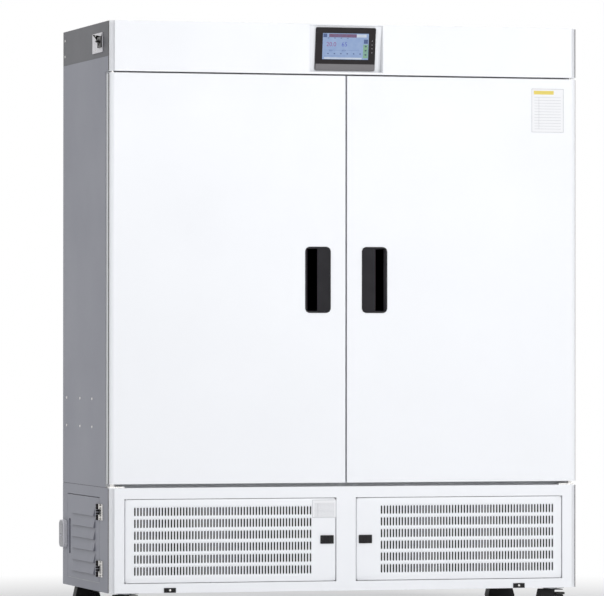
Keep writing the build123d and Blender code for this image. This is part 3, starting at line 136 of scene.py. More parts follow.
def start_group(name, inputs, outputs):
    """An empty node group with named sockets."""
    tree = bpy.data.node_groups.new(name, "ShaderNodeTree")
    for label, kind, default in inputs:
        socket = tree.interface.new_socket(name=label, in_out="INPUT", socket_type=kind)
        socket.default_value = default
    for label, kind in outputs:
        tree.interface.new_socket(name=label, in_out="OUTPUT", socket_type=kind)
    return tree, tree.nodes.new("NodeGroupInput").outputs, tree.nodes.new("NodeGroupOutput").inputs


FLOAT = "NodeSocketFloat"
COLOUR = "NodeSocketColor"
VECTOR = "NodeSocketVector"


def make_orange_peel():
    """The skin of sprayed and baked paint: fine ripples, and slow changes of tone and gloss."""
    tree, given, out = start_group(
        "orange peel",
        [
            ("Colour", COLOUR, (1, 1, 1, 1)), ("Gloss", FLOAT, 0.4),
            ("Grain", FLOAT, 0.0012), ("Mottle", FLOAT, 0.03),
        ],
        [("Colour", COLOUR), ("Roughness", FLOAT), ("Height", FLOAT)],
    )
    spot = place(tree)
    ripple = noise(tree, spot, math(tree, "DIVIDE", 1.0, given["Grain"]), 2.0)
    cloud = noise(tree, spot, 3.0, 4.0)
    shade = math(tree, "SUBTRACT", 1.0, math(tree, "MULTIPLY", cloud, given["Mottle"]))
    grey = put(tree, "ShaderNodeCombineColor", {0: shade, 1: shade, 2: shade}).outputs[0]
    tree.links.new(blend_colour(tree, 1.0, given["Colour"], grey, "MULTIPLY"), out["Colour"])
    gloss = math(tree, "ADD", given["Gloss"], spread(tree, cloud, 0.3, 0.7, -0.04, 0.04))
    tree.links.new(math(tree, "ADD", gloss, spread(tree, ripple, 0.3, 0.7, -0.03, 0.03)), out["Roughness"])
    tree.links.new(ripple, out["Height"])
    return tree


def make_dust():
    """Dust that has settled on faces that look up, thicker in some places."""
    tree, given, out = start_group("settled dust", [("Amount", FLOAT, 0.3)], [("Mask", FLOAT)])
    normal = put(tree, "ShaderNodeNewGeometry").outputs["Normal"]
    upward = put(tree, "ShaderNodeSeparateXYZ", {0: normal}).outputs["Z"]
    facing = spread(tree, upward, 0.6, 1.0, 0.0, 1.0)
    patch = spread(tree, noise(tree, place(tree), 14.0, 6.0, 0.65), 0.35, 0.7, 0.2, 1.0)
    mask = math(tree, "MULTIPLY", math(tree, "MULTIPLY", facing, patch), given["Amount"])
    tree.links.new(mask, out["Mask"])
    return tree


def make_edge_wear():
    """Where edges have been rubbed: a broken line along each outer edge."""
    inputs = [("Width", FLOAT, 0.001), ("Amount", FLOAT, 0.5)]
    tree, given, out = start_group("edge wear", inputs, [("Mask", FLOAT)])
    rounded = put(tree, "ShaderNodeBevel", {"Radius": given["Width"]}, samples=4).outputs[0]
    normal = put(tree, "ShaderNodeNewGeometry").outputs["Normal"]
    match = vector_math(tree, "DOT_PRODUCT", rounded, normal, "Value")
    edge = spread(tree, match, 0.999, 0.9, 0.0, 1.0)
    broken = spread(tree, noise(tree, place(tree), 160.0, 5.0, 0.7), 0.4, 0.62, 0.1, 1.0)
    mask = math(tree, "MULTIPLY", math(tree, "MULTIPLY", edge, broken), given["Amount"])
    tree.links.new(mask, out["Mask"])
    return tree


def make_corner_dirt_and_shade():
    """Darkening in seams and inner corners from an occlusion mask: partly dirt, partly painted shade."""
    inputs = [("Reach", FLOAT, 0.012), ("Amount", FLOAT, 0.4)]
    tree, given, out = start_group("corner dirt and painted shade", inputs, [("Mask", FLOAT)])
    open_sky = put(tree, "ShaderNodeAmbientOcclusion", {"Distance": given["Reach"]}, samples=6).outputs["AO"]
    closed = math(tree, "SUBTRACT", 1.0, open_sky)
    streak = spread(tree, noise(tree, place(tree), 60.0, 4.0), 0.3, 0.7, 0.5, 1.0)
    mask = math(tree, "MULTIPLY", math(tree, "MULTIPLY", closed, streak), given["Amount"])
    tree.links.new(mask, out["Mask"])
    return tree


def make_brushing():
    """Fine parallel lines left by a belt; Stretch is small along the lines and large across them."""
    tree, given, out = start_group(
        "brushing", [("Stretch", VECTOR, (4.0, 400.0, 900.0))], [("Height", FLOAT), ("Shade", FLOAT)]
    )
    drawn = vector_math(tree, "MULTIPLY", place(tree), given["Stretch"])
    fine = noise(tree, drawn, 1.0, 4.0, 0.7)
    wide = noise(tree, drawn, 0.13, 3.0)
    tree.links.new(fine, out["Height"])
    both = math(tree, "ADD", math(tree, "MULTIPLY", fine, 0.6), math(tree, "MULTIPLY", wide, 0.4))
    tree.links.new(spread(tree, both, 0.35, 0.65, 0.0, 1.0), out["Shade"])
    return tree


def make_spangle():
    """The crystal patches of zinc-coated sheet."""
    outputs = [("Shade", FLOAT), ("Height", FLOAT)]
    tree, given, out = start_group("zinc spangle", [("Size", FLOAT, 0.012)], outputs)
    scale = math(tree, "DIVIDE", 1.0, given["Size"])
    waves = {"Vector": place(tree), "Scale": 40.0, "Detail": 2.0}
    bent = put(tree, "ShaderNodeTexNoise", waves).outputs["Color"]
    shifted = vector_math(tree, "MULTIPLY", bent, (0.012, 0.012, 0.012))
    cells = voronoi(tree, vector_math(tree, "ADD", place(tree), shifted), scale, "Color")
    shade = put(tree, "ShaderNodeSeparateColor", {0: cells}).outputs[0]
    tree.links.new(shade, out["Shade"])
    tree.links.new(math(tree, "MULTIPLY", shade, 0.3), out["Height"])
    return tree


def make_mould_grain():
    """The fine pebbled grain of moulded plastic, with a little change of gloss where hands rub it."""
    inputs = [("Grain", FLOAT, 0.0006), ("Gloss", FLOAT, 0.5)]
    outputs = [("Height", FLOAT), ("Roughness", FLOAT)]
    tree, given, out = start_group("mould grain", inputs, outputs)
    scale = math(tree, "DIVIDE", 1.0, given["Grain"])
    pebbles = voronoi(tree, place(tree), scale)
    rubbed = noise(tree, place(tree), 22.0, 4.0)
    tree.links.new(pebbles, out["Height"])
    change = spread(tree, rubbed, 0.3, 0.7, -0.07, 0.07)
    tree.links.new(math(tree, "ADD", given["Gloss"], change), out["Roughness"])
    return tree


orange_peel = make_orange_peel()
settled_dust = make_dust()
edge_wear = make_edge_wear()
corner_dirt_and_shade = make_corner_dirt_and_shade()
brushing = make_brushing()
zinc_spangle = make_spangle()
mould_grain = make_mould_grain()


def use(tree, group, inputs=None):
    """A node group placed in a material with its own values."""
    node = tree.nodes.new("ShaderNodeGroup")
    node.node_tree = group
    for key, value in (inputs or {}).items():
        node.inputs[key].default_value = value
    return node.outputs


def start_material(name, constants=None):
    """A material with one Principled shader and its constant values."""
    material = bpy.data.materials.new(name)
    material.use_nodes = True
    tree = material.node_tree
    shader = tree.nodes["Principled BSDF"]
    for key, value in (constants or {}).items():
        shader.inputs[key].default_value = value
    return material, tree, shader.inputs


def bump(tree, height, strength, distance):
    """A normal from a height in metres."""
    inputs = {"Height": height, "Strength": strength, "Distance": distance}
    return put(tree, "ShaderNodeBump", inputs).outputs[0]


dust_colour = seen(176, 172, 164)
# Colour of dirt and painted shade in seams and corners
dirt_and_shade_colour = seen(70, 68, 66)


def paint(name, colour, gloss=0.42, grain=0.0012, dust=0.15, dirt_and_shade=0.25, depth=0.00003):
    """Sprayed and baked paint on sheet metal, with dust, and with dirt and painted shade in its seams and
    corners.
    """
    material, tree, shader = start_material(name)
    coat = use(tree, orange_peel, {"Colour": colour, "Gloss": gloss, "Grain": grain, "Mottle": 0.02})
    dusty = use(tree, settled_dust, {"Amount": dust})["Mask"]
    # The occlusion mask paints shade, with some dirt, into seams and corners
    dirt_and_shade_mask = use(tree, corner_dirt_and_shade, {"Amount": dirt_and_shade})["Mask"]
    clean = blend_colour(tree, dusty, coat["Colour"], dust_colour)
    tree.links.new(blend_colour(tree, dirt_and_shade_mask, clean, dirt_and_shade_colour), shader["Base Color"])
    matt = math(tree, "MULTIPLY", dusty, 0.4)
    tree.links.new(math(tree, "ADD", coat["Roughness"], matt), shader["Roughness"])
    tree.links.new(bump(tree, coat["Height"], 0.35, depth), shader["Normal"])
    return material


def past_plane(tree, axis, start, end):
    """0 on one side of a plane across an axis and 1 on the other, by the position on the piece."""
    along = put(tree, "ShaderNodeSeparateXYZ", {0: place(tree)}).outputs[axis]
    return spread(tree, along, start, end, 0.0, 1.0)


def plastic(
    name, colour, gloss=0.5, grain=0.0006, worn=None, dust=0.15, depth=0.00003, shine=0.5, zone=None
):
    """Moulded plastic with a pebbled grain and rubbed edges; zone is (axis, start, end, colour beyond)."""
    material, tree, shader = start_material(name, {"Specular IOR Level": shine})
    mould = use(tree, mould_grain, {"Grain": grain, "Gloss": gloss})
    rubbed = use(tree, edge_wear, {"Width": 0.0012, "Amount": 0.35})["Mask"]
    dusty = use(tree, settled_dust, {"Amount": dust})["Mask"]
    shade = blend_colour(tree, rubbed, colour, worn or colour)
    if zone:
        shade = blend_colour(tree, past_plane(tree, *zone[:3]), shade, zone[3])
    tree.links.new(blend_colour(tree, dusty, shade, dust_colour), shader["Base Color"])
    tree.links.new(mould["Roughness"], shader["Roughness"])
    tree.links.new(bump(tree, mould["Height"], 0.3, depth), shader["Normal"])
    return material


def brushed_metal(name, dark, light, stretch, gloss=0.3, dust=0.05, zone=None):
    """Bare metal with brushing lines; zone is (axis, start, end, colour beyond)."""
    material, tree, shader = start_material(name, {"Metallic": 1.0})
    lines = use(tree, brushing, {"Stretch": stretch})
    dusty = use(tree, settled_dust, {"Amount": dust})["Mask"]
    tone = blend_colour(tree, lines["Shade"], dark, light)
    if zone:
        tone = blend_colour(tree, past_plane(tree, *zone[:3]), tone, zone[3])
    tree.links.new(blend_colour(tree, dusty, tone, dust_colour), shader["Base Color"])
    smudge = spread(tree, noise(tree, place(tree), 9.0, 4.0), 0.35, 0.65, -0.03, 0.07)
    drawn = spread(tree, lines["Shade"], 0.0, 1.0, gloss - 0.05, gloss + 0.05)
    tree.links.new(math(tree, "ADD", drawn, smudge), shader["Roughness"])
    tree.links.new(bump(tree, lines["Height"], 0.25, 0.00002), shader["Normal"])
    return material


def zinc_sheet(name, size=0.012, dirt_and_shade=0.35):
    """Zinc-coated sheet with its crystal patches, dust, and dirt and painted shade in its corners."""
    material, tree, shader = start_material(name, {"Metallic": 0.85})
    zinc = use(tree, zinc_spangle, {"Size": size})
    # The occlusion mask paints shade, with some dirt, into seams and corners
    dirt_and_shade_mask = use(tree, corner_dirt_and_shade, {"Amount": dirt_and_shade, "Reach": 0.02})["Mask"]
    dusty = use(tree, settled_dust, {"Amount": 0.3})["Mask"]
    tone = blend_colour(tree, zinc["Shade"], seen(150, 153, 157), seen(182, 184, 187))
    clean = blend_colour(tree, dusty, tone, dust_colour)
    tree.links.new(blend_colour(tree, dirt_and_shade_mask, clean, dirt_and_shade_colour), shader["Base Color"])
    tree.links.new(spread(tree, zinc["Shade"], 0.0, 1.0, 0.34, 0.5), shader["Roughness"])
    tree.links.new(bump(tree, zinc["Height"], 0.3, 0.00005), shader["Normal"])
    return material


def foam_material():
    """Cut foam, coloured a dark grey-brown all over as painted shade where it shows in the seams."""
    material, tree, shader = start_material("cut foam", {"Roughness": 0.9})
    cells = voronoi(tree, place(tree), 700.0)
    patch = noise(tree, place(tree), 30.0, 4.0)
    # Dark foam colours stand in for the shade inside the seams
    tree.links.new(blend_colour(tree, patch, seen(96, 92, 84), seen(120, 114, 100)), shader["Base Color"])
    tree.links.new(bump(tree, cells, 0.6, 0.0004), shader["Normal"])
    return material


def rubber_material(name, colour, gloss=0.62):
    """Soft rubber or vinyl with a dusty bloom."""
    material, tree, shader = start_material(name, {"Specular IOR Level": 0.35})
    bloom = spread(tree, noise(tree, place(tree), 45.0, 5.0), 0.35, 0.75, 0.0, 0.22)
    pits = noise(tree, place(tree), 900.0, 2.0)
    tree.links.new(blend_colour(tree, bloom, colour, dust_colour), shader["Base Color"])
    tree.links.new(spread(tree, bloom, 0.0, 0.22, gloss, gloss + 0.18), shader["Roughness"])
    tree.links.new(bump(tree, pits, 0.3, 0.00006), shader["Normal"])
    return material


def lit_material(name, colour, strength=0.75):
    """A lit part of the display: fine dot grid, its own glow and a little gloss."""
    material, tree, shader = start_material(name, {"Roughness": 0.25, "Emission Strength": strength})
    dots = voronoi(tree, place(tree), 2200.0)
    cloud = noise(tree, place(tree), 60.0, 3.0)
    tone = blend_colour(tree, spread(tree, cloud, 0.3, 0.7, 0.0, 0.25), colour, seen(96, 132, 196))
    dim = blend_colour(tree, spread(tree, dots, 0.0, 0.6, 0.0, 0.12), tone, seen(20, 26, 40))
    tree.links.new(dim, shader["Emission Color"])
    tree.links.new(blend_colour(tree, 0.85, tone, (0, 0, 0, 1)), shader["Base Color"])
    return material


def print_material(name, colour, gloss=0.45):
    """Ink or film on a flat card or face."""
    material, tree, shader = start_material(name)
    fibre = noise(tree, place(tree), 1400.0, 3.0)
    fade = noise(tree, place(tree), 25.0, 3.0)
    light = blend_colour(tree, 0.12, colour, (1, 1, 1, 1))
    tree.links.new(blend_colour(tree, fade, colour, light), shader["Base Color"])
    tree.links.new(spread(tree, fibre, 0.3, 0.7, gloss - 0.05, gloss + 0.08), shader["Roughness"])
    tree.links.new(bump(tree, fibre, 0.15, 0.00002), shader["Normal"])
    return material


# Positions across which a piece takes its second colour: (start, end) along an axis
handle_hollow = (front_y - 0.0005, front_y + 0.001)
breaker_face = (-0.7833, -0.7837)
# Beyond this plane the outlet's outer face takes a grey as painted shade
outlet_side_shade = (-0.794, -0.7946)
# Beyond this plane the hinge leaves take a dark grey as painted shade of the knuckle column
hinge_knuckle_shade = (-0.7845, -0.7855)

near_black = seen(26, 25, 27)
plated = ((0.62, 0.61, 0.59, 1), (0.86, 0.85, 0.83, 1), (900.0, 900.0, 60.0), 0.22)
white_paint = paint("white baked paint", seen(246, 248, 252), gloss=0.38)
grey_paint = paint("grey baked paint", seen(141, 143, 154), gloss=0.5, grain=0.0016, dirt_and_shade=0.4)
# The top cover and its skirt take a darker grey than the walls, so the sides are darker along the top
cover_paint = paint("dark grey baked paint", seen(86, 87, 93), gloss=0.5, grain=0.0016, dirt_and_shade=0.4)
edge_band = plastic("pale edge band", seen(226, 228, 230), gloss=0.42, worn=seen(236, 236, 236))
black_plastic = plastic("black moulded plastic", near_black, worn=seen(48, 47, 48), shine=0.2)
handle_plastic = plastic(
    "door handle plastic", seen(34, 33, 37), gloss=0.55, worn=seen(54, 53, 56), shine=0.15,
    zone=("Y", *handle_hollow, seen(84, 82, 88)),
)
switch_plastic = plastic(
    "switch plate plastic", seen(222, 221, 226), gloss=0.4, zone=("X", *breaker_face, near_black)
)
# The outer face of the outlet box and flap is coloured grey as painted shade
outlet_plastic_and_shade = plastic(
    "outlet plastic with painted side shade", seen(226, 226, 232), gloss=0.4, zone=("X", *outlet_side_shade, seen(150, 151, 157))
)
pale_plastic = plastic("pale moulded plastic", seen(222, 221, 226), gloss=0.4, worn=seen(236, 236, 238))
bezel_plastic = plastic("bezel plastic", seen(26, 21, 24), 0.45, 0.0004, seen(44, 40, 42), shine=0.2)
strip_plastic = plastic("bezel strip plastic", seen(112, 110, 113), gloss=0.4, grain=0.0004)
stainless = brushed_metal("brushed stainless", (0.5, 0.5, 0.5, 1), (0.66, 0.66, 0.65, 1), (5.0, 300.0, 900.0))
bright_steel = brushed_metal("bright plated steel", *plated)
wire_steel = brushed_metal(
    "polished wire", (0.6, 0.6, 0.6, 1), (0.78, 0.78, 0.77, 1), (300.0, 40.0, 300.0), gloss=0.2
)
fin_metal = brushed_metal(
    "rolled aluminium", (0.6, 0.61, 0.62, 1), (0.76, 0.77, 0.78, 1), (400.0, 400.0, 12.0),
    gloss=0.34, dust=0.3,
)
galvanised = zinc_sheet("zinc-coated sheet")
# The knuckle part of the hinge leaves is coloured dark as painted shade
hinge_steel_and_shade = brushed_metal("hinge steel with painted knuckle shade", *plated, zone=("X", *hinge_knuckle_shade, seen(52, 50, 52)))
foam = foam_material()
gasket_vinyl = rubber_material("grey gasket vinyl", seen(150, 151, 154))
black_rubber = rubber_material("black rubber", seen(34, 33, 33))
filter_felt = rubber_material("black filter mat", seen(30, 29, 31), 0.85)
motor_enamel = paint("black motor enamel", seen(30, 30, 31), gloss=0.28, dust=0.35)
fan_plastic = plastic("fan plastic", seen(46, 46, 49), gloss=0.45, worn=seen(80, 80, 82), dust=0.3)
wheel_nylon = plastic("wheel nylon", seen(196, 192, 182), gloss=0.38, worn=seen(150, 146, 138))
screen_blue = lit_material("display blue", seen(150, 175, 215))


finishes = {
    "insulated_body": foam, "chamber_liners": stainless, "front_frame": white_paint,
    "left_side_panel": grey_paint, "right_side_panel": grey_paint, "top_cover": cover_paint,
    "rear_panel": galvanised, "cable_gland": black_plastic, "base_frame": galvanised,
    "left_base_panel": grey_paint, "right_base_panel": grey_paint, "service_door": grey_paint,
    "service_hinge_leaves": hinge_steel_and_shade, "header_panel": white_paint, "instrument_plate": white_paint,
    "operator_panel": bezel_plastic, "operator_screen": screen_blue, "base_front_panel": white_paint,
    "base_clips": black_plastic, "door_pivots": bright_steel, "switch_plate": switch_plastic,
    "breaker_toggle": black_plastic, "outlet_box": outlet_plastic_and_shade, "outlet_flap": outlet_plastic_and_shade,
    "duct_covers": stainless, "evaporators": fin_metal, "fan_motors": motor_enamel,
    "condensers": fin_metal, "compressors": motor_enamel, "shelf_rails": stainless,
    "shelves": wire_steel, "caster_plates": galvanised,
}
for side_name in sides:
    finishes[f"{side_name}_door_skin"] = white_paint
    finishes[f"{side_name}_door_core"] = edge_band
    finishes[f"{side_name}_door_gasket"] = gasket_vinyl
    finishes[f"{side_name}_door_handle"] = handle_plastic
    finishes[f"{side_name}_grille_door"] = white_paint
    finishes[f"{side_name}_grille_latch"] = black_plastic
    finishes[f"{side_name}_chamber_fan"] = fan_plastic
    finishes[f"{side_name}_condenser_fan"] = fan_plastic
for corner in corners:
    finishes[f"{corner}_caster_housing"] = black_plastic
    finishes[f"{corner}_caster_wheel"] = wheel_nylon
    finishes[f"{corner}_caster_leveller"] = black_rubber

# How far the edges of each CAD piece are broken, in metres; the others keep the edges they have
edge_breaks = {
    "top_cover": 0.0005, "left_side_panel": 0.0004, "right_side_panel": 0.0004, "rear_panel": 0.0004,
    "left_base_panel": 0.0004, "right_base_panel": 0.0004, "service_door": 0.0003, "header_panel": 0.0005,
    "instrument_plate": 0.0004, "operator_panel": 0.0012, "base_front_panel": 0.0005, "base_clips": 0.0004,
    "switch_plate": 0.0008, "breaker_toggle": 0.0006, "outlet_box": 0.001, "outlet_flap": 0.0008,
    "service_hinge_leaves": 0.0004, "caster_plates": 0.0006, "compressors": 0.003, "shelf_rails": 0.0008,
    "front_frame": 0.0004, "cable_gland": 0.0005,
}
for side_name in sides:
    edge_breaks[f"{side_name}_door_skin"] = 0.0006
    edge_breaks[f"{side_name}_door_core"] = 0.001
    edge_breaks[f"{side_name}_door_gasket"] = 0.002
    edge_breaks[f"{side_name}_door_handle"] = 0.0009
    edge_breaks[f"{side_name}_grille_latch"] = 0.0005
for corner in corners:
    edge_breaks[f"{corner}_caster_housing"] = 0.0012
    edge_breaks[f"{corner}_caster_wheel"] = 0.0015
    edge_breaks[f"{corner}_caster_leveller"] = 0.001


def soften_edges(piece, width):
    """Breaks the sharp edges of a CAD piece with a small rounded bevel; its own vertices stay."""
    mesh = piece.data
    if "custom_normal" in mesh.attributes:
        mesh.attributes.remove(mesh.attributes["custom_normal"])
    for polygon in mesh.polygons:
        polygon.use_smooth = True
    weld = piece.modifiers.new("weld", "WELD")
    weld.merge_threshold = 0.000005
    flatten = piece.modifiers.new("flatten", "DECIMATE")
    flatten.decimate_type = "DISSOLVE"
    flatten.angle_limit = radians(0.6)
    edges = piece.modifiers.new("edges", "BEVEL")
    edges.width = width
    edges.segments = 2
    edges.limit_method = "ANGLE"
    edges.angle_limit = radians(35)
    edges.use_clamp_overlap = False
    edges.harden_normals = True
    flat = piece.modifiers.new("flat faces", "WEIGHTED_NORMAL")
    flat.mode = "FACE_AREA"
    flat.weight = 90


for node_name, finish in finishes.items():
    nodes[node_name].data.materials.clear()
    nodes[node_name].data.materials.append(finish)
for node_name, width in edge_breaks.items():
    soften_edges(nodes[node_name], width)


def link_object(name, data):
    """A new object in the scene that holds a mesh, text, lamp or camera."""
    holder = bpy.data.objects.new(name, data)
    bpy.context.scene.collection.objects.link(holder)
    return holder


def add_piece(name, bm, body, material, smooth=35.0):
    """Turns finished mesh work into a named piece that rides on a body."""
    bmesh.ops.recalc_face_normals(bm, faces=bm.faces)
    mesh = bpy.data.meshes.new(name)
    bm.to_mesh(mesh)
    bm.free()
    for polygon in mesh.polygons:
        polygon.use_smooth = True
    mesh.set_sharp_from_angle(angle=radians(smooth))
    mesh.materials.append(material)
    piece = link_object(name, mesh)
    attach(piece, body)
    return piece


def add_block(bm, low, high, rounding=0.0, steps=2):
    """A block between two corners with all its edges rounded."""
    size = Vector(high) - Vector(low)
    middle = (Vector(high) + Vector(low)) / 2
    form = Matrix.Translation(middle) @ Matrix.Diagonal((*size, 1.0))
    made = bmesh.ops.create_cube(bm, size=1.0, matrix=form)
    if rounding:
        edges = list({edge for vertex in made["verts"] for edge in vertex.link_edges})
        bmesh.ops.bevel(bm, geom=edges, offset=rounding, segments=steps, affect="EDGES", profile=0.5)


def add_turned(bm, origin, axis, outline, sides_round=20):
    """A turned form: outline lists (distance along the axis, radius) from one end to the other."""
    axis = Vector(axis).normalized()
    across = axis.orthogonal().normalized()
    other = axis.cross(across)
    rings = []
    for along, radius in outline:
        centre = Vector(origin) + axis * along
        if radius < 1e-6:
            rings.append([bm.verts.new(centre)])
            continue
        ring = []
        for step in range(sides_round):
            turn = 2 * pi * step / sides_round
            ring.append(bm.verts.new(centre + (across * cos(turn) + other * sin(turn)) * radius))
        rings.append(ring)
    for one, two in zip(rings, rings[1:]):
        for step in range(sides_round):
            after = (step + 1) % sides_round
            if len(one) == 1:
                bm.faces.new((one[0], two[after], two[step]))
            elif len(two) == 1:
                bm.faces.new((one[step], one[after], two[0]))
            else:
                bm.faces.new((one[step], one[after], two[after], two[step]))


def add_screw(bm, place_at, axis, radius, height):
    """A domed screw head with a small round recess."""
    floor = height - height * 0.3
    dome = [(0, radius), (height * 0.35, radius), (height * 0.75, radius * 0.8), (height, radius * 0.42)]
    add_turned(bm, place_at, axis, [(0, 0), *dome, (floor, radius * 0.22), (floor, 0)])


# The two perforated grille doors
pin_rounding = 0.005
grille_sheet = 0.0015
grille_flange = 0.012
slot_size = (0.005, 0.027)
slot_pitch = (0.00998, 0.03775)
slot_counts = (59, 6)
slot_inset = 0.0300
slot_bottom = 0.024
filter_gap = 0.0035
filter_thickness = 0.004
filter_rounding = 0.0008
fold_radius = 0.002


def slot_loops(middle, pitch, size):
    """Ten matched points round one slot and round its cell, so that cells join edge to edge."""
    radius = size[0] / 2
    straight = size[1] / 2 - radius
    turn = radius * cos(radians(45))
    half = (pitch[0] / 2, pitch[1] / 2)
    hole = [
        (radius, -straight), (radius, straight), (turn, straight + turn), (0, straight + radius),
        (-turn, straight + turn), (-radius, straight), (-radius, -straight), (-turn, -straight - turn),
        (0, -straight - radius), (turn, -straight - turn),
    ]
    cell = [
        (half[0], -straight), (half[0], straight), (half[0], half[1]), (0, half[1]), (-half[0], half[1]),
        (-half[0], straight), (-half[0], -straight), (-half[0], -half[1]), (0, -half[1]), (half[0], -half[1]),
    ]
    return [[(middle[0] + x, middle[1] + z) for x, z in loop] for loop in (hole, cell)]


def perforated_field(bm, low, y):
    """The slotted part of a grille as flat faces, and the x and z lines at its border."""
    for column in range(slot_counts[0]):
        for row in range(slot_counts[1]):
            middle = (low[0] + (column + 0.5) * slot_pitch[0], low[1] + (row + 0.5) * slot_pitch[1])
            hole, cell = slot_loops(middle, slot_pitch, slot_size)
            inner = [bm.verts.new((x, y, z)) for x, z in hole]
            outer = [bm.verts.new((x, y, z)) for x, z in cell]
            for step in range(len(inner)):
                after = (step + 1) % len(inner)
                bm.faces.new((inner[step], inner[after], outer[after], outer[step]))
    straight = (slot_size[1] - slot_size[0]) / 2
    x_lines = [low[0] + step * slot_pitch[0] / 2 for step in range(2 * slot_counts[0] + 1)]
    z_lines = []
    for row in range(slot_counts[1]):
        middle_z = low[1] + (row + 0.5) * slot_pitch[1]
        z_lines += [middle_z - slot_pitch[1] / 2, middle_z - straight, middle_z + straight]
    z_lines.append(low[1] + slot_counts[1] * slot_pitch[1])
    return x_lines, z_lines


def folded_path(start, end, radius, depth):
    """Points across a sheet folded back at both ends: (across, back) pairs, bends in four steps."""
    path = [(start, depth)]
    for step in range(5):
        turn = radians(90) * step / 4
        path.append((start + radius * (1 - cos(turn)), radius * (1 - sin(turn))))
    for step in range(5):
        turn = radians(90) * (1 - step / 4)
        path.append((end - radius * (1 - cos(turn)), radius * (1 - sin(turn))))
    path.append((end, depth))
    return path


def make_grille(name, side):
    """A folded sheet with rows of upright slots, and the filter mat behind it."""
    low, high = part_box(f"{name}_grille_door")
    bm = bmesh.new()
    field_x = slot_counts[0] * slot_pitch[0]
    outer = high.x if side > 0 else low.x
    slot_margin = (slot_pitch[0] - slot_size[0]) / 2
    field_low_x = outer - side * (slot_inset - slot_margin) - (field_x if side > 0 else 0)
    field_low_z = low.z + slot_bottom - (slot_pitch[1] - slot_size[1]) / 2
    x_lines, z_lines = perforated_field(bm, (field_low_x, field_low_z), low.y)
    across = folded_path(low.x, high.x, pin_rounding, grille_flange)
    upright = folded_path(low.z, high.z, fold_radius, grille_flange)
    columns = [p for p in across if p[0] <= (low.x + high.x) / 2] + [(x, 0.0) for x in x_lines]
    columns += [p for p in across if p[0] > (low.x + high.x) / 2]
    rows = [p for p in upright if p[0] <= (low.z + high.z) / 2] + [(z, 0.0) for z in z_lines]
    rows += [p for p in upright if p[0] > (low.z + high.z) / 2]
    grid = {}
    for i, (x, back_x) in enumerate(columns):
        for k, (z, back_z) in enumerate(rows):
            if back_x and back_z:
                continue
            grid[i, k] = bm.verts.new((x, low.y + max(back_x, back_z), z))
    edge = 1e-5
    for i in range(len(columns) - 1):
        for k in range(len(rows) - 1):
            keys = ((i, k), (i + 1, k), (i + 1, k + 1), (i, k + 1))
            if any(key not in grid for key in keys):
                continue
            mid_x = (columns[i][0] + columns[i + 1][0]) / 2
            mid_z = (rows[k][0] + rows[k + 1][0]) / 2
            in_x = x_lines[0] - edge < mid_x < x_lines[-1] + edge
            in_z = z_lines[0] - edge < mid_z < z_lines[-1] + edge
            if in_x and in_z:
                continue
            bm.faces.new([grid[key] for key in keys])
    bmesh.ops.remove_doubles(bm, verts=bm.verts, dist=0.00002)
    loose = [vertex for vertex in bm.verts if not vertex.link_faces]
    bmesh.ops.delete(bm, geom=loose, context="VERTS")
    piece = add_piece(f"{name}_slotted_grille", bm, f"{name}_grille", white_paint, smooth=40.0)
    wall = piece.modifiers.new("sheet", "SOLIDIFY")
    wall.thickness = grille_sheet
    wall.offset = -1.0
    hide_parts(f"{name}_grille_door")
    bm = bmesh.new()
    front = (x_lines[0], low.y + filter_gap, z_lines[0])
    back = (x_lines[-1], low.y + filter_gap + filter_thickness, z_lines[-1])
    add_block(bm, front, back, filter_rounding)
    add_piece(f"{name}_filter_mat", bm, f"{name}_grille", filter_felt)


for side_name, side_sign in sides.items():
    make_grille(side_name, side_sign)


# Operator panel: its lit display, lower strip and signal lamps, drawn on the tilted face
panel_tilt = radians(7.5)
panel_right = Vector((1, 0, 0))
panel_up = Vector((0, -sin(panel_tilt), cos(panel_tilt)))
panel_out = Vector((0, -cos(panel_tilt), -sin(panel_tilt)))


def panel_frame(middle):
    """A frame on the panel: X to the right, Y up along the panel and Z out of it."""
    turn = Matrix((panel_right, panel_up, panel_out)).transposed().to_4x4()
    return Matrix.Translation(middle) @ turn


screen_lift = 0.0005
screen_low, screen_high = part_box("operator_screen")
screen_middle = (screen_low + screen_high) / 2 + panel_out * screen_lift
screen_frame = panel_frame(screen_middle)
screen_size = (screen_high.x - screen_low.x, (screen_high.z - screen_low.z) / cos(panel_tilt) - 0.0002)


def add_plate(bm, centre, size, thickness, rounding=0.0):
    """A thin plate in a flat frame, its face looking along Z."""
    add_block(
        bm,
        (centre[0] - size[0] / 2, centre[1] - size[1] / 2, 0.0),
        (centre[0] + size[0] / 2, centre[1] + size[1] / 2, thickness),
        rounding,
        1,
    )


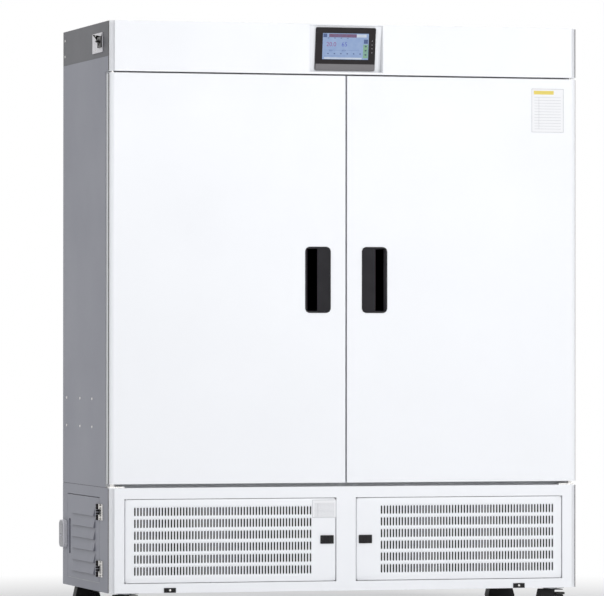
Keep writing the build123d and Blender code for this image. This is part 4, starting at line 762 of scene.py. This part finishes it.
def make_display():
    """A generic reading on the display: bars, keys, arrows and lines, each a thin lit layer."""
    layer = 0.0002
    half_x, half_z = screen_size[0] / 2, screen_size[1] / 2
    key_x = half_x - 0.0095
    bars = {
        "title_bar": (seen(112, 58, 92), [(-0.01, half_z - 0.0075, 0.092, 0.011)]),
        "display_keys": (
            seen(38, 66, 120),
            [(-half_x + 0.008, half_z - 0.0075, 0.0125, 0.0115), (key_x, 0.0165, 0.0135, 0.0135)]
            + [(-0.058 + 0.0215 * step, -0.0235, 0.0045, 0.0035) for step in range(6)]
            + [(-0.058 + 0.0215 * step, 0.0265, 0.0055, 0.002) for step in range(4)],
        ),
        "display_green": (seen(128, 176, 134), [(key_x, -0.015, 0.0165, 0.044)]),
        "display_arrows": (
            seen(44, 78, 66),
            [(key_x, 0.001 - 0.0135 * step, 0.006, 0.005) for step in range(3)],
        ),
        "display_pale": (
            seen(214, 224, 236),
            [(-0.008, -half_z + 0.0035, 0.126, 0.005), (0.053, half_z - 0.0075, 0.032, 0.0095)],
        ),
        "display_lines": (
            seen(96, 118, 176),
            [(-0.012, -0.0125, 0.118, 0.0006), (-0.012, -0.0305, 0.118, 0.0006)],
        ),
    }
    for name, (colour, boxes) in bars.items():
        bm = bmesh.new()
        for x, z, long, tall in boxes:
            add_plate(bm, (x, z), (long, tall), layer * (2 if "arrows" in name else 1))
        bmesh.ops.transform(bm, matrix=screen_frame, verts=bm.verts)
        add_piece(name, bm, "cabinet", lit_material(name, colour))


def add_number(name, text, centre, tall, material, local, depth=0.0003):
    """Plain numbers as a thin raised mesh on a flat frame."""
    curve = bpy.data.curves.new(name, "FONT")
    curve.body = text
    curve.size = tall
    curve.extrude = depth / 2
    curve.align_x = "CENTER"
    curve.align_y = "CENTER"
    holder = link_object(name + "_outline", curve)
    bpy.context.view_layer.update()
    mesh = bpy.data.meshes.new_from_object(holder)
    bpy.data.objects.remove(holder)
    mesh.name = name
    mesh.transform(local @ Matrix.Translation((centre[0], centre[1], depth / 2)))
    mesh.materials.clear()
    mesh.materials.append(material)
    return link_object(name, mesh)


def make_readings():
    """Two plain readings and a row of small figures on the display."""
    for name, text, centre, tall, colour in (
        ("reading_left", "20.0", (-0.048, 0.006), 0.0195, seen(150, 74, 132)),
        ("reading_right", "65", (-0.004, 0.006), 0.0195, seen(70, 80, 190)),
        ("set_left", "20.0", (-0.05, -0.0135), 0.007, seen(60, 84, 150)),
        ("set_right", "65.0", (-0.006, -0.0135), 0.007, seen(60, 84, 150)),
    ):
        piece = add_number(name, text, centre, tall, lit_material(name + " ink", colour), screen_frame)
        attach(piece, "cabinet")


make_display()
make_readings()

bezel_size = (0.2, 0.139)
bezel_drop = 0.009
bezel_lift = 0.0005
bezel_frame = panel_frame(screen_middle - panel_up * bezel_drop + panel_out * bezel_lift)
strip_height = 0.021
lamp_x = 0.0885
lamp_top = 0.0275
lamp_pitch = 0.0125
lamp_outline = [(0, 0.0011), (0.0006, 0.0009), (0.0007, 0)]


def make_bezel_details():
    """The paler strip along the bottom of the bezel and four small lamps beside the display."""
    bm = bmesh.new()
    middle_z = -bezel_size[1] / 2 + strip_height / 2 + 0.0006
    add_plate(bm, (0, middle_z), (bezel_size[0] - 0.002, strip_height), 0.0008, 0.0003)
    bmesh.ops.transform(bm, matrix=bezel_frame, verts=bm.verts)
    add_piece("bezel_strip", bm, "cabinet", strip_plastic)
    bm = bmesh.new()
    for step in range(4):
        add_turned(bm, (lamp_x, lamp_top - lamp_pitch * step, 0.0), (0, 0, 1), lamp_outline, 16)
    bmesh.ops.transform(bm, matrix=bezel_frame, verts=bm.verts)
    add_piece("signal_lamps", bm, "cabinet", pale_plastic)


make_bezel_details()


# Cards: a blank ruled card on the right door and a smaller one on the left grille
def make_card(name, body, centre, size, band):
    """A thin plastic card with a grey border, a plain band and empty ruled lines."""
    local = Matrix.Translation(centre) @ Matrix.Rotation(radians(90), 4, "X")
    layers = {
        "sheet": (print_material(name + " film", seen(240, 241, 244)), 0.0003, [(0, 0, *size)]),
        "border": (print_material(name + " border", seen(170, 172, 178)), 0.0005, []),
    }
    line = 0.0011
    for sign in (-1, 1):
        layers["border"][2].append((0, sign * (size[1] / 2 - line), size[0] - line, line))
        layers["border"][2].append((sign * (size[0] / 2 - line), 0, line, size[1] - line))
    rows = 11
    gap = size[1] * 0.72 / rows
    top = size[1] / 2 - size[1] * 0.2
    rules = [(0.0, top - gap * step, size[0] * 0.82, line * 0.7) for step in range(rows + 1)]
    rules.append((-size[0] * 0.27, top - gap * rows / 2, line * 0.7, gap * rows))
    layers["rules"] = (print_material(name + " rules", seen(176, 178, 184)), 0.0005, rules)
    if band:
        bar = (-size[0] * 0.12, size[1] / 2 - size[1] * 0.09, size[0] * 0.62, size[1] * 0.085)
        layers["band"] = (print_material(name + " band", seen(226, 204, 70)), 0.0005, [bar])
    for part, (material, thickness, boxes) in layers.items():
        bm = bmesh.new()
        for x, z, long, tall in boxes:
            add_plate(bm, (x, z), (long, tall), thickness)
        bmesh.ops.transform(bm, matrix=local, verts=bm.verts)
        add_piece(f"{name}_{part}", bm, body, material)


make_card("door_card", "right_door", (0.681, front_y, 1.632), (0.110, 0.142), True)
make_card("grille_card", "left_grille", (-0.073, front_y, 0.346), (0.080, 0.058), False)


# Dark strips of painted shadow along the white fronts and in the wall seams, and small fittings on the
# outside
shadow_strip_width = 0.009
shadow_strip_proud = 0.0003
shadow_strip_back = 0.0205
shadow_strip_end = 0.001
header_shadow_strip_drop = 0.048
seam_y = (-0.3, rear_y - 0.005)
seam_z = (base_top + 0.0001, base_top + 0.0009)
seam_insets = (0.0012, 0.0003)
knuckle_inset = 0.0055
knuckle_radius = 0.0061
knuckle_end_radius = 0.0046
knuckle_break = 0.0012
knuckle_gap = 0.0004
hinge_y = -0.192
hinge_height = 0.052
hinge_screw_drops = (-0.017, 0.017)
hinge_screw_y = (-0.212, -0.23)
plate_proud = 0.003
switch_screw_inset = 0.008
switch_screw_back = 0.045
clip_screw_inset = 0.0195

# Screw heads: (radius, height)
wall_screw = (0.0045, 0.0022)
cover_screw = (0.004, 0.002)
clip_screw = (0.0036, 0.0016)
plate_screw = (0.0034, 0.0014)


def make_shadow_strips():
    """Dark rubber strips as painted shadow lines between the white fronts and the side walls, and in the
    seams of the side walls.
    """
    shadow_strip_y = front_y + shadow_strip_back
    door_low, door_high = (corner.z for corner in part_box("left_door_skin"))
    # Each strip stands in for the shadow line where a white front meets a side wall
    for name, body, edges, low_z, high_z in (
        ("header", "cabinet", (-1, 1), skirt_z - header_shadow_strip_drop, top_z),
        ("base", "cabinet", (-1, 1), base_z, base_top),
        ("left_door", "left_door", (-1,), door_low, door_high),
        ("right_door", "right_door", (1,), door_low, door_high),
    ):
        bm = bmesh.new()
        for side in edges:
            left, right = sorted((side * half_width, side * (half_width + shadow_strip_proud)))
            add_block(bm, (left, shadow_strip_y - shadow_strip_width, low_z + shadow_strip_end), (right, shadow_strip_y, high_z - shadow_strip_end))
        add_piece(f"{name}_edge_shadow_strip", bm, body, black_rubber)
    # Dark strips in the wall seams stand in for the shade inside the seams
    bm = bmesh.new()
    for side in sides.values():
        left, right = sorted(side * (half_width - inset) for inset in seam_insets)
        add_block(bm, (left, seam_y[0], seam_z[0]), (right, seam_y[1], seam_z[1]))
    add_piece("wall_seam_shadow_strips", bm, "cabinet", black_rubber)


def make_hinge_shade_beads():
    """Rounded dark knuckles over the service door's two hinges, as painted shade of the knuckle column, with
    screws on the leaves.
    """
    low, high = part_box("service_hinge_leaves")
    middles = (low.z + hinge_height / 2, high.z - hinge_height / 2)
    third = hinge_height / 3
    length = third / 2 - 2 * knuckle_gap
    outline = [
        (0, 0), (0, knuckle_end_radius), (knuckle_break, knuckle_radius),
        (length - knuckle_break, knuckle_radius), (length, knuckle_end_radius), (length, 0),
    ]
    # Black knuckles stand in for the shade of the knuckle column
    for name, body in (("service_hinge_knuckle_shades", "cabinet"), ("service_door_knuckle_shades", "service_door")):
        bm = bmesh.new()
        for middle in middles:
            for step in (-1, 0, 1):
                if (step == 0) != (body == "service_door"):
                    continue
                for half in (-1, 1):
                    start = middle + step * third + half * third / 4 - third / 4 + knuckle_gap
                    add_turned(bm, (low.x + knuckle_inset, hinge_y, start), (0, 0, 1), outline)
        add_piece(name, bm, body, black_plastic)
    bm = bmesh.new()
    for middle in middles:
        for drop in hinge_screw_drops:
            for y in hinge_screw_y:
                add_screw(bm, (-half_width - plate_proud, y, middle + drop), (-1, 0, 0), *plate_screw)
    add_piece("service_hinge_screws", bm, "cabinet", bright_steel)


def make_small_fittings():
    """A screw on each clip plate and two on the switch plate."""
    low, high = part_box("base_clips")
    bm = bmesh.new()
    for side in sides.values():
        middle = (side * (high.x - clip_screw_inset), low.y, (low.z + high.z) / 2)
        add_screw(bm, middle, (0, -1, 0), *clip_screw)
    plate_low, plate_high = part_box("switch_plate")
    y = plate_high.y - switch_screw_back
    for z in (plate_low.z + switch_screw_inset, plate_high.z - switch_screw_inset):
        add_screw(bm, (-half_width - plate_proud, y, z), (-1, 0, 0), *plate_screw)
    add_piece("fitting_screws", bm, "cabinet", bright_steel)


make_shadow_strips()
make_hinge_shade_beads()
make_small_fittings()


# Screws of the walls
wall_screw_y = (-0.09, 0.08, 0.27)
wall_screw_z = (0.607, 0.697)
cover_screw_inset = 0.03
rear_screw_inset = 0.014
rear_columns = 7
rear_rows = 8


def make_screws():
    """Small screws on the side walls, the cover and the back."""
    bm = bmesh.new()
    for side in sides.values():
        for y in wall_screw_y:
            for z in wall_screw_z:
                add_screw(bm, (side * half_width, y, z), (side, 0, 0), *wall_screw)
        for z in (skirt_z + cover_screw_inset, top_z - cover_screw_inset):
            add_screw(bm, (side * half_width, rear_y - cover_screw_inset, z), (side, 0, 0), *cover_screw)
    add_piece("side_screws", bm, "cabinet", bright_steel)
    bm = bmesh.new()
    low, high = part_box("rear_panel")
    inset = rear_screw_inset
    for column in range(rear_columns):
        x = low.x + inset + (high.x - low.x - 2 * inset) * column / (rear_columns - 1)
        for z in (low.z + inset, high.z - inset):
            add_screw(bm, (x, high.y, z), (0, 1, 0), *wall_screw)
    for row in range(1, rear_rows):
        z = low.z + inset + (high.z - low.z - 2 * inset) * row / rear_rows
        for x in (low.x + inset, high.x - inset):
            add_screw(bm, (x, high.y, z), (0, 1, 0), *wall_screw)
    add_piece("rear_screws", bm, "cabinet", bright_steel)


make_screws()


# Studio
sky_strength = 0.5
floor_fade = (1.1, 2.6)


def looked_at(tree):
    """1 where a ray comes from the camera, a shiny face or clear glass, and 0 elsewhere."""
    path = put(tree, "ShaderNodeLightPath").outputs
    looks = math(tree, "ADD", path["Is Camera Ray"], path["Is Glossy Ray"], True)
    return math(tree, "ADD", looks, path["Is Transmission Ray"], True)


def make_floor():
    """A pale floor that keeps the cabinet's shadow near it and turns into the white backdrop further out."""
    bm = bmesh.new()
    bmesh.ops.create_grid(bm, x_segments=2, y_segments=2, size=40.0)
    mesh = bpy.data.meshes.new("studio_floor")
    bm.to_mesh(mesh)
    bm.free()
    floor = link_object("studio_floor", mesh)
    material = bpy.data.materials.new("pale floor")
    material.use_nodes = True
    tree = material.node_tree
    tree.nodes.clear()
    spot = put(tree, "ShaderNodeTexCoord").outputs["Object"]
    distance = vector_math(tree, "LENGTH", spot, output="Value")
    far = spread(tree, distance, *floor_fade, 0.0, 1.0)
    tone = noise(tree, spot, 2.0, 3.0)
    colour = blend_colour(tree, tone, seen(243, 243, 244), seen(248, 248, 249))
    matt = put(tree, "ShaderNodeBsdfDiffuse", {"Color": colour}).outputs[0]
    white = put(tree, "ShaderNodeEmission", {"Color": (1, 1, 1, 1), "Strength": 1.0}).outputs[0]
    share = math(tree, "MULTIPLY", far, looked_at(tree))
    mixed = put(tree, "ShaderNodeMixShader", {0: share, 1: matt, 2: white}).outputs[0]
    put(tree, "ShaderNodeOutputMaterial", {"Surface": mixed})
    mesh.materials.append(material)


def make_sky():
    """An even soft light from all round, seen as white."""
    world = bpy.data.worlds.new("studio")
    bpy.context.scene.world = world
    world.use_nodes = True
    tree = world.node_tree
    tree.nodes.clear()
    strength = spread(tree, looked_at(tree), 0.0, 1.0, sky_strength, 1.0)
    sky = put(tree, "ShaderNodeBackground", {"Color": (1, 1, 1, 1), "Strength": strength}).outputs[0]
    put(tree, "ShaderNodeOutputWorld", {"Surface": sky})


def make_lamp(name, place_at, aim, size, power):
    """A square soft box."""
    lamp = bpy.data.lights.new(name, "AREA")
    lamp.shape = "SQUARE"
    lamp.size = size
    lamp.energy = power
    holder = link_object(name, lamp)
    holder.location = place_at
    holder.rotation_euler = (Vector(aim) - Vector(place_at)).to_track_quat("-Z", "Y").to_euler()


def make_camera():
    """The photograph's camera."""
    camera = bpy.data.cameras.new("photo_camera")
    camera.sensor_width = sensor_width
    camera.lens = focal_pixels * sensor_width / photo_width
    camera.clip_end = 100.0
    holder = link_object("photo_camera", camera)
    turn = Matrix.Rotation(radians(camera_yaw), 4, "Z") @ Matrix.Rotation(radians(camera_pitch), 4, "X")
    turn = turn @ Matrix.Rotation(radians(camera_roll), 4, "Y") @ Matrix.Rotation(radians(90), 4, "X")
    holder.matrix_world = Matrix.Translation(camera_place) @ turn
    bpy.context.scene.camera = holder


make_floor()
make_sky()
make_lamp("front_box", (1.6, -6.5, 2.6), (0.0, 0.0, 0.95), 3.2, 160.0)
make_lamp("left_box", (-5.5, -2.0, 5.5), (0.0, 0.0, 0.9), 2.6, 60.0)
make_lamp("rear_box", (3.5, 5.5, 3.2), (0.0, 0.0, 0.9), 3.0, 160.0)
make_camera()
bpy.context.scene.view_settings.view_transform = "Standard"
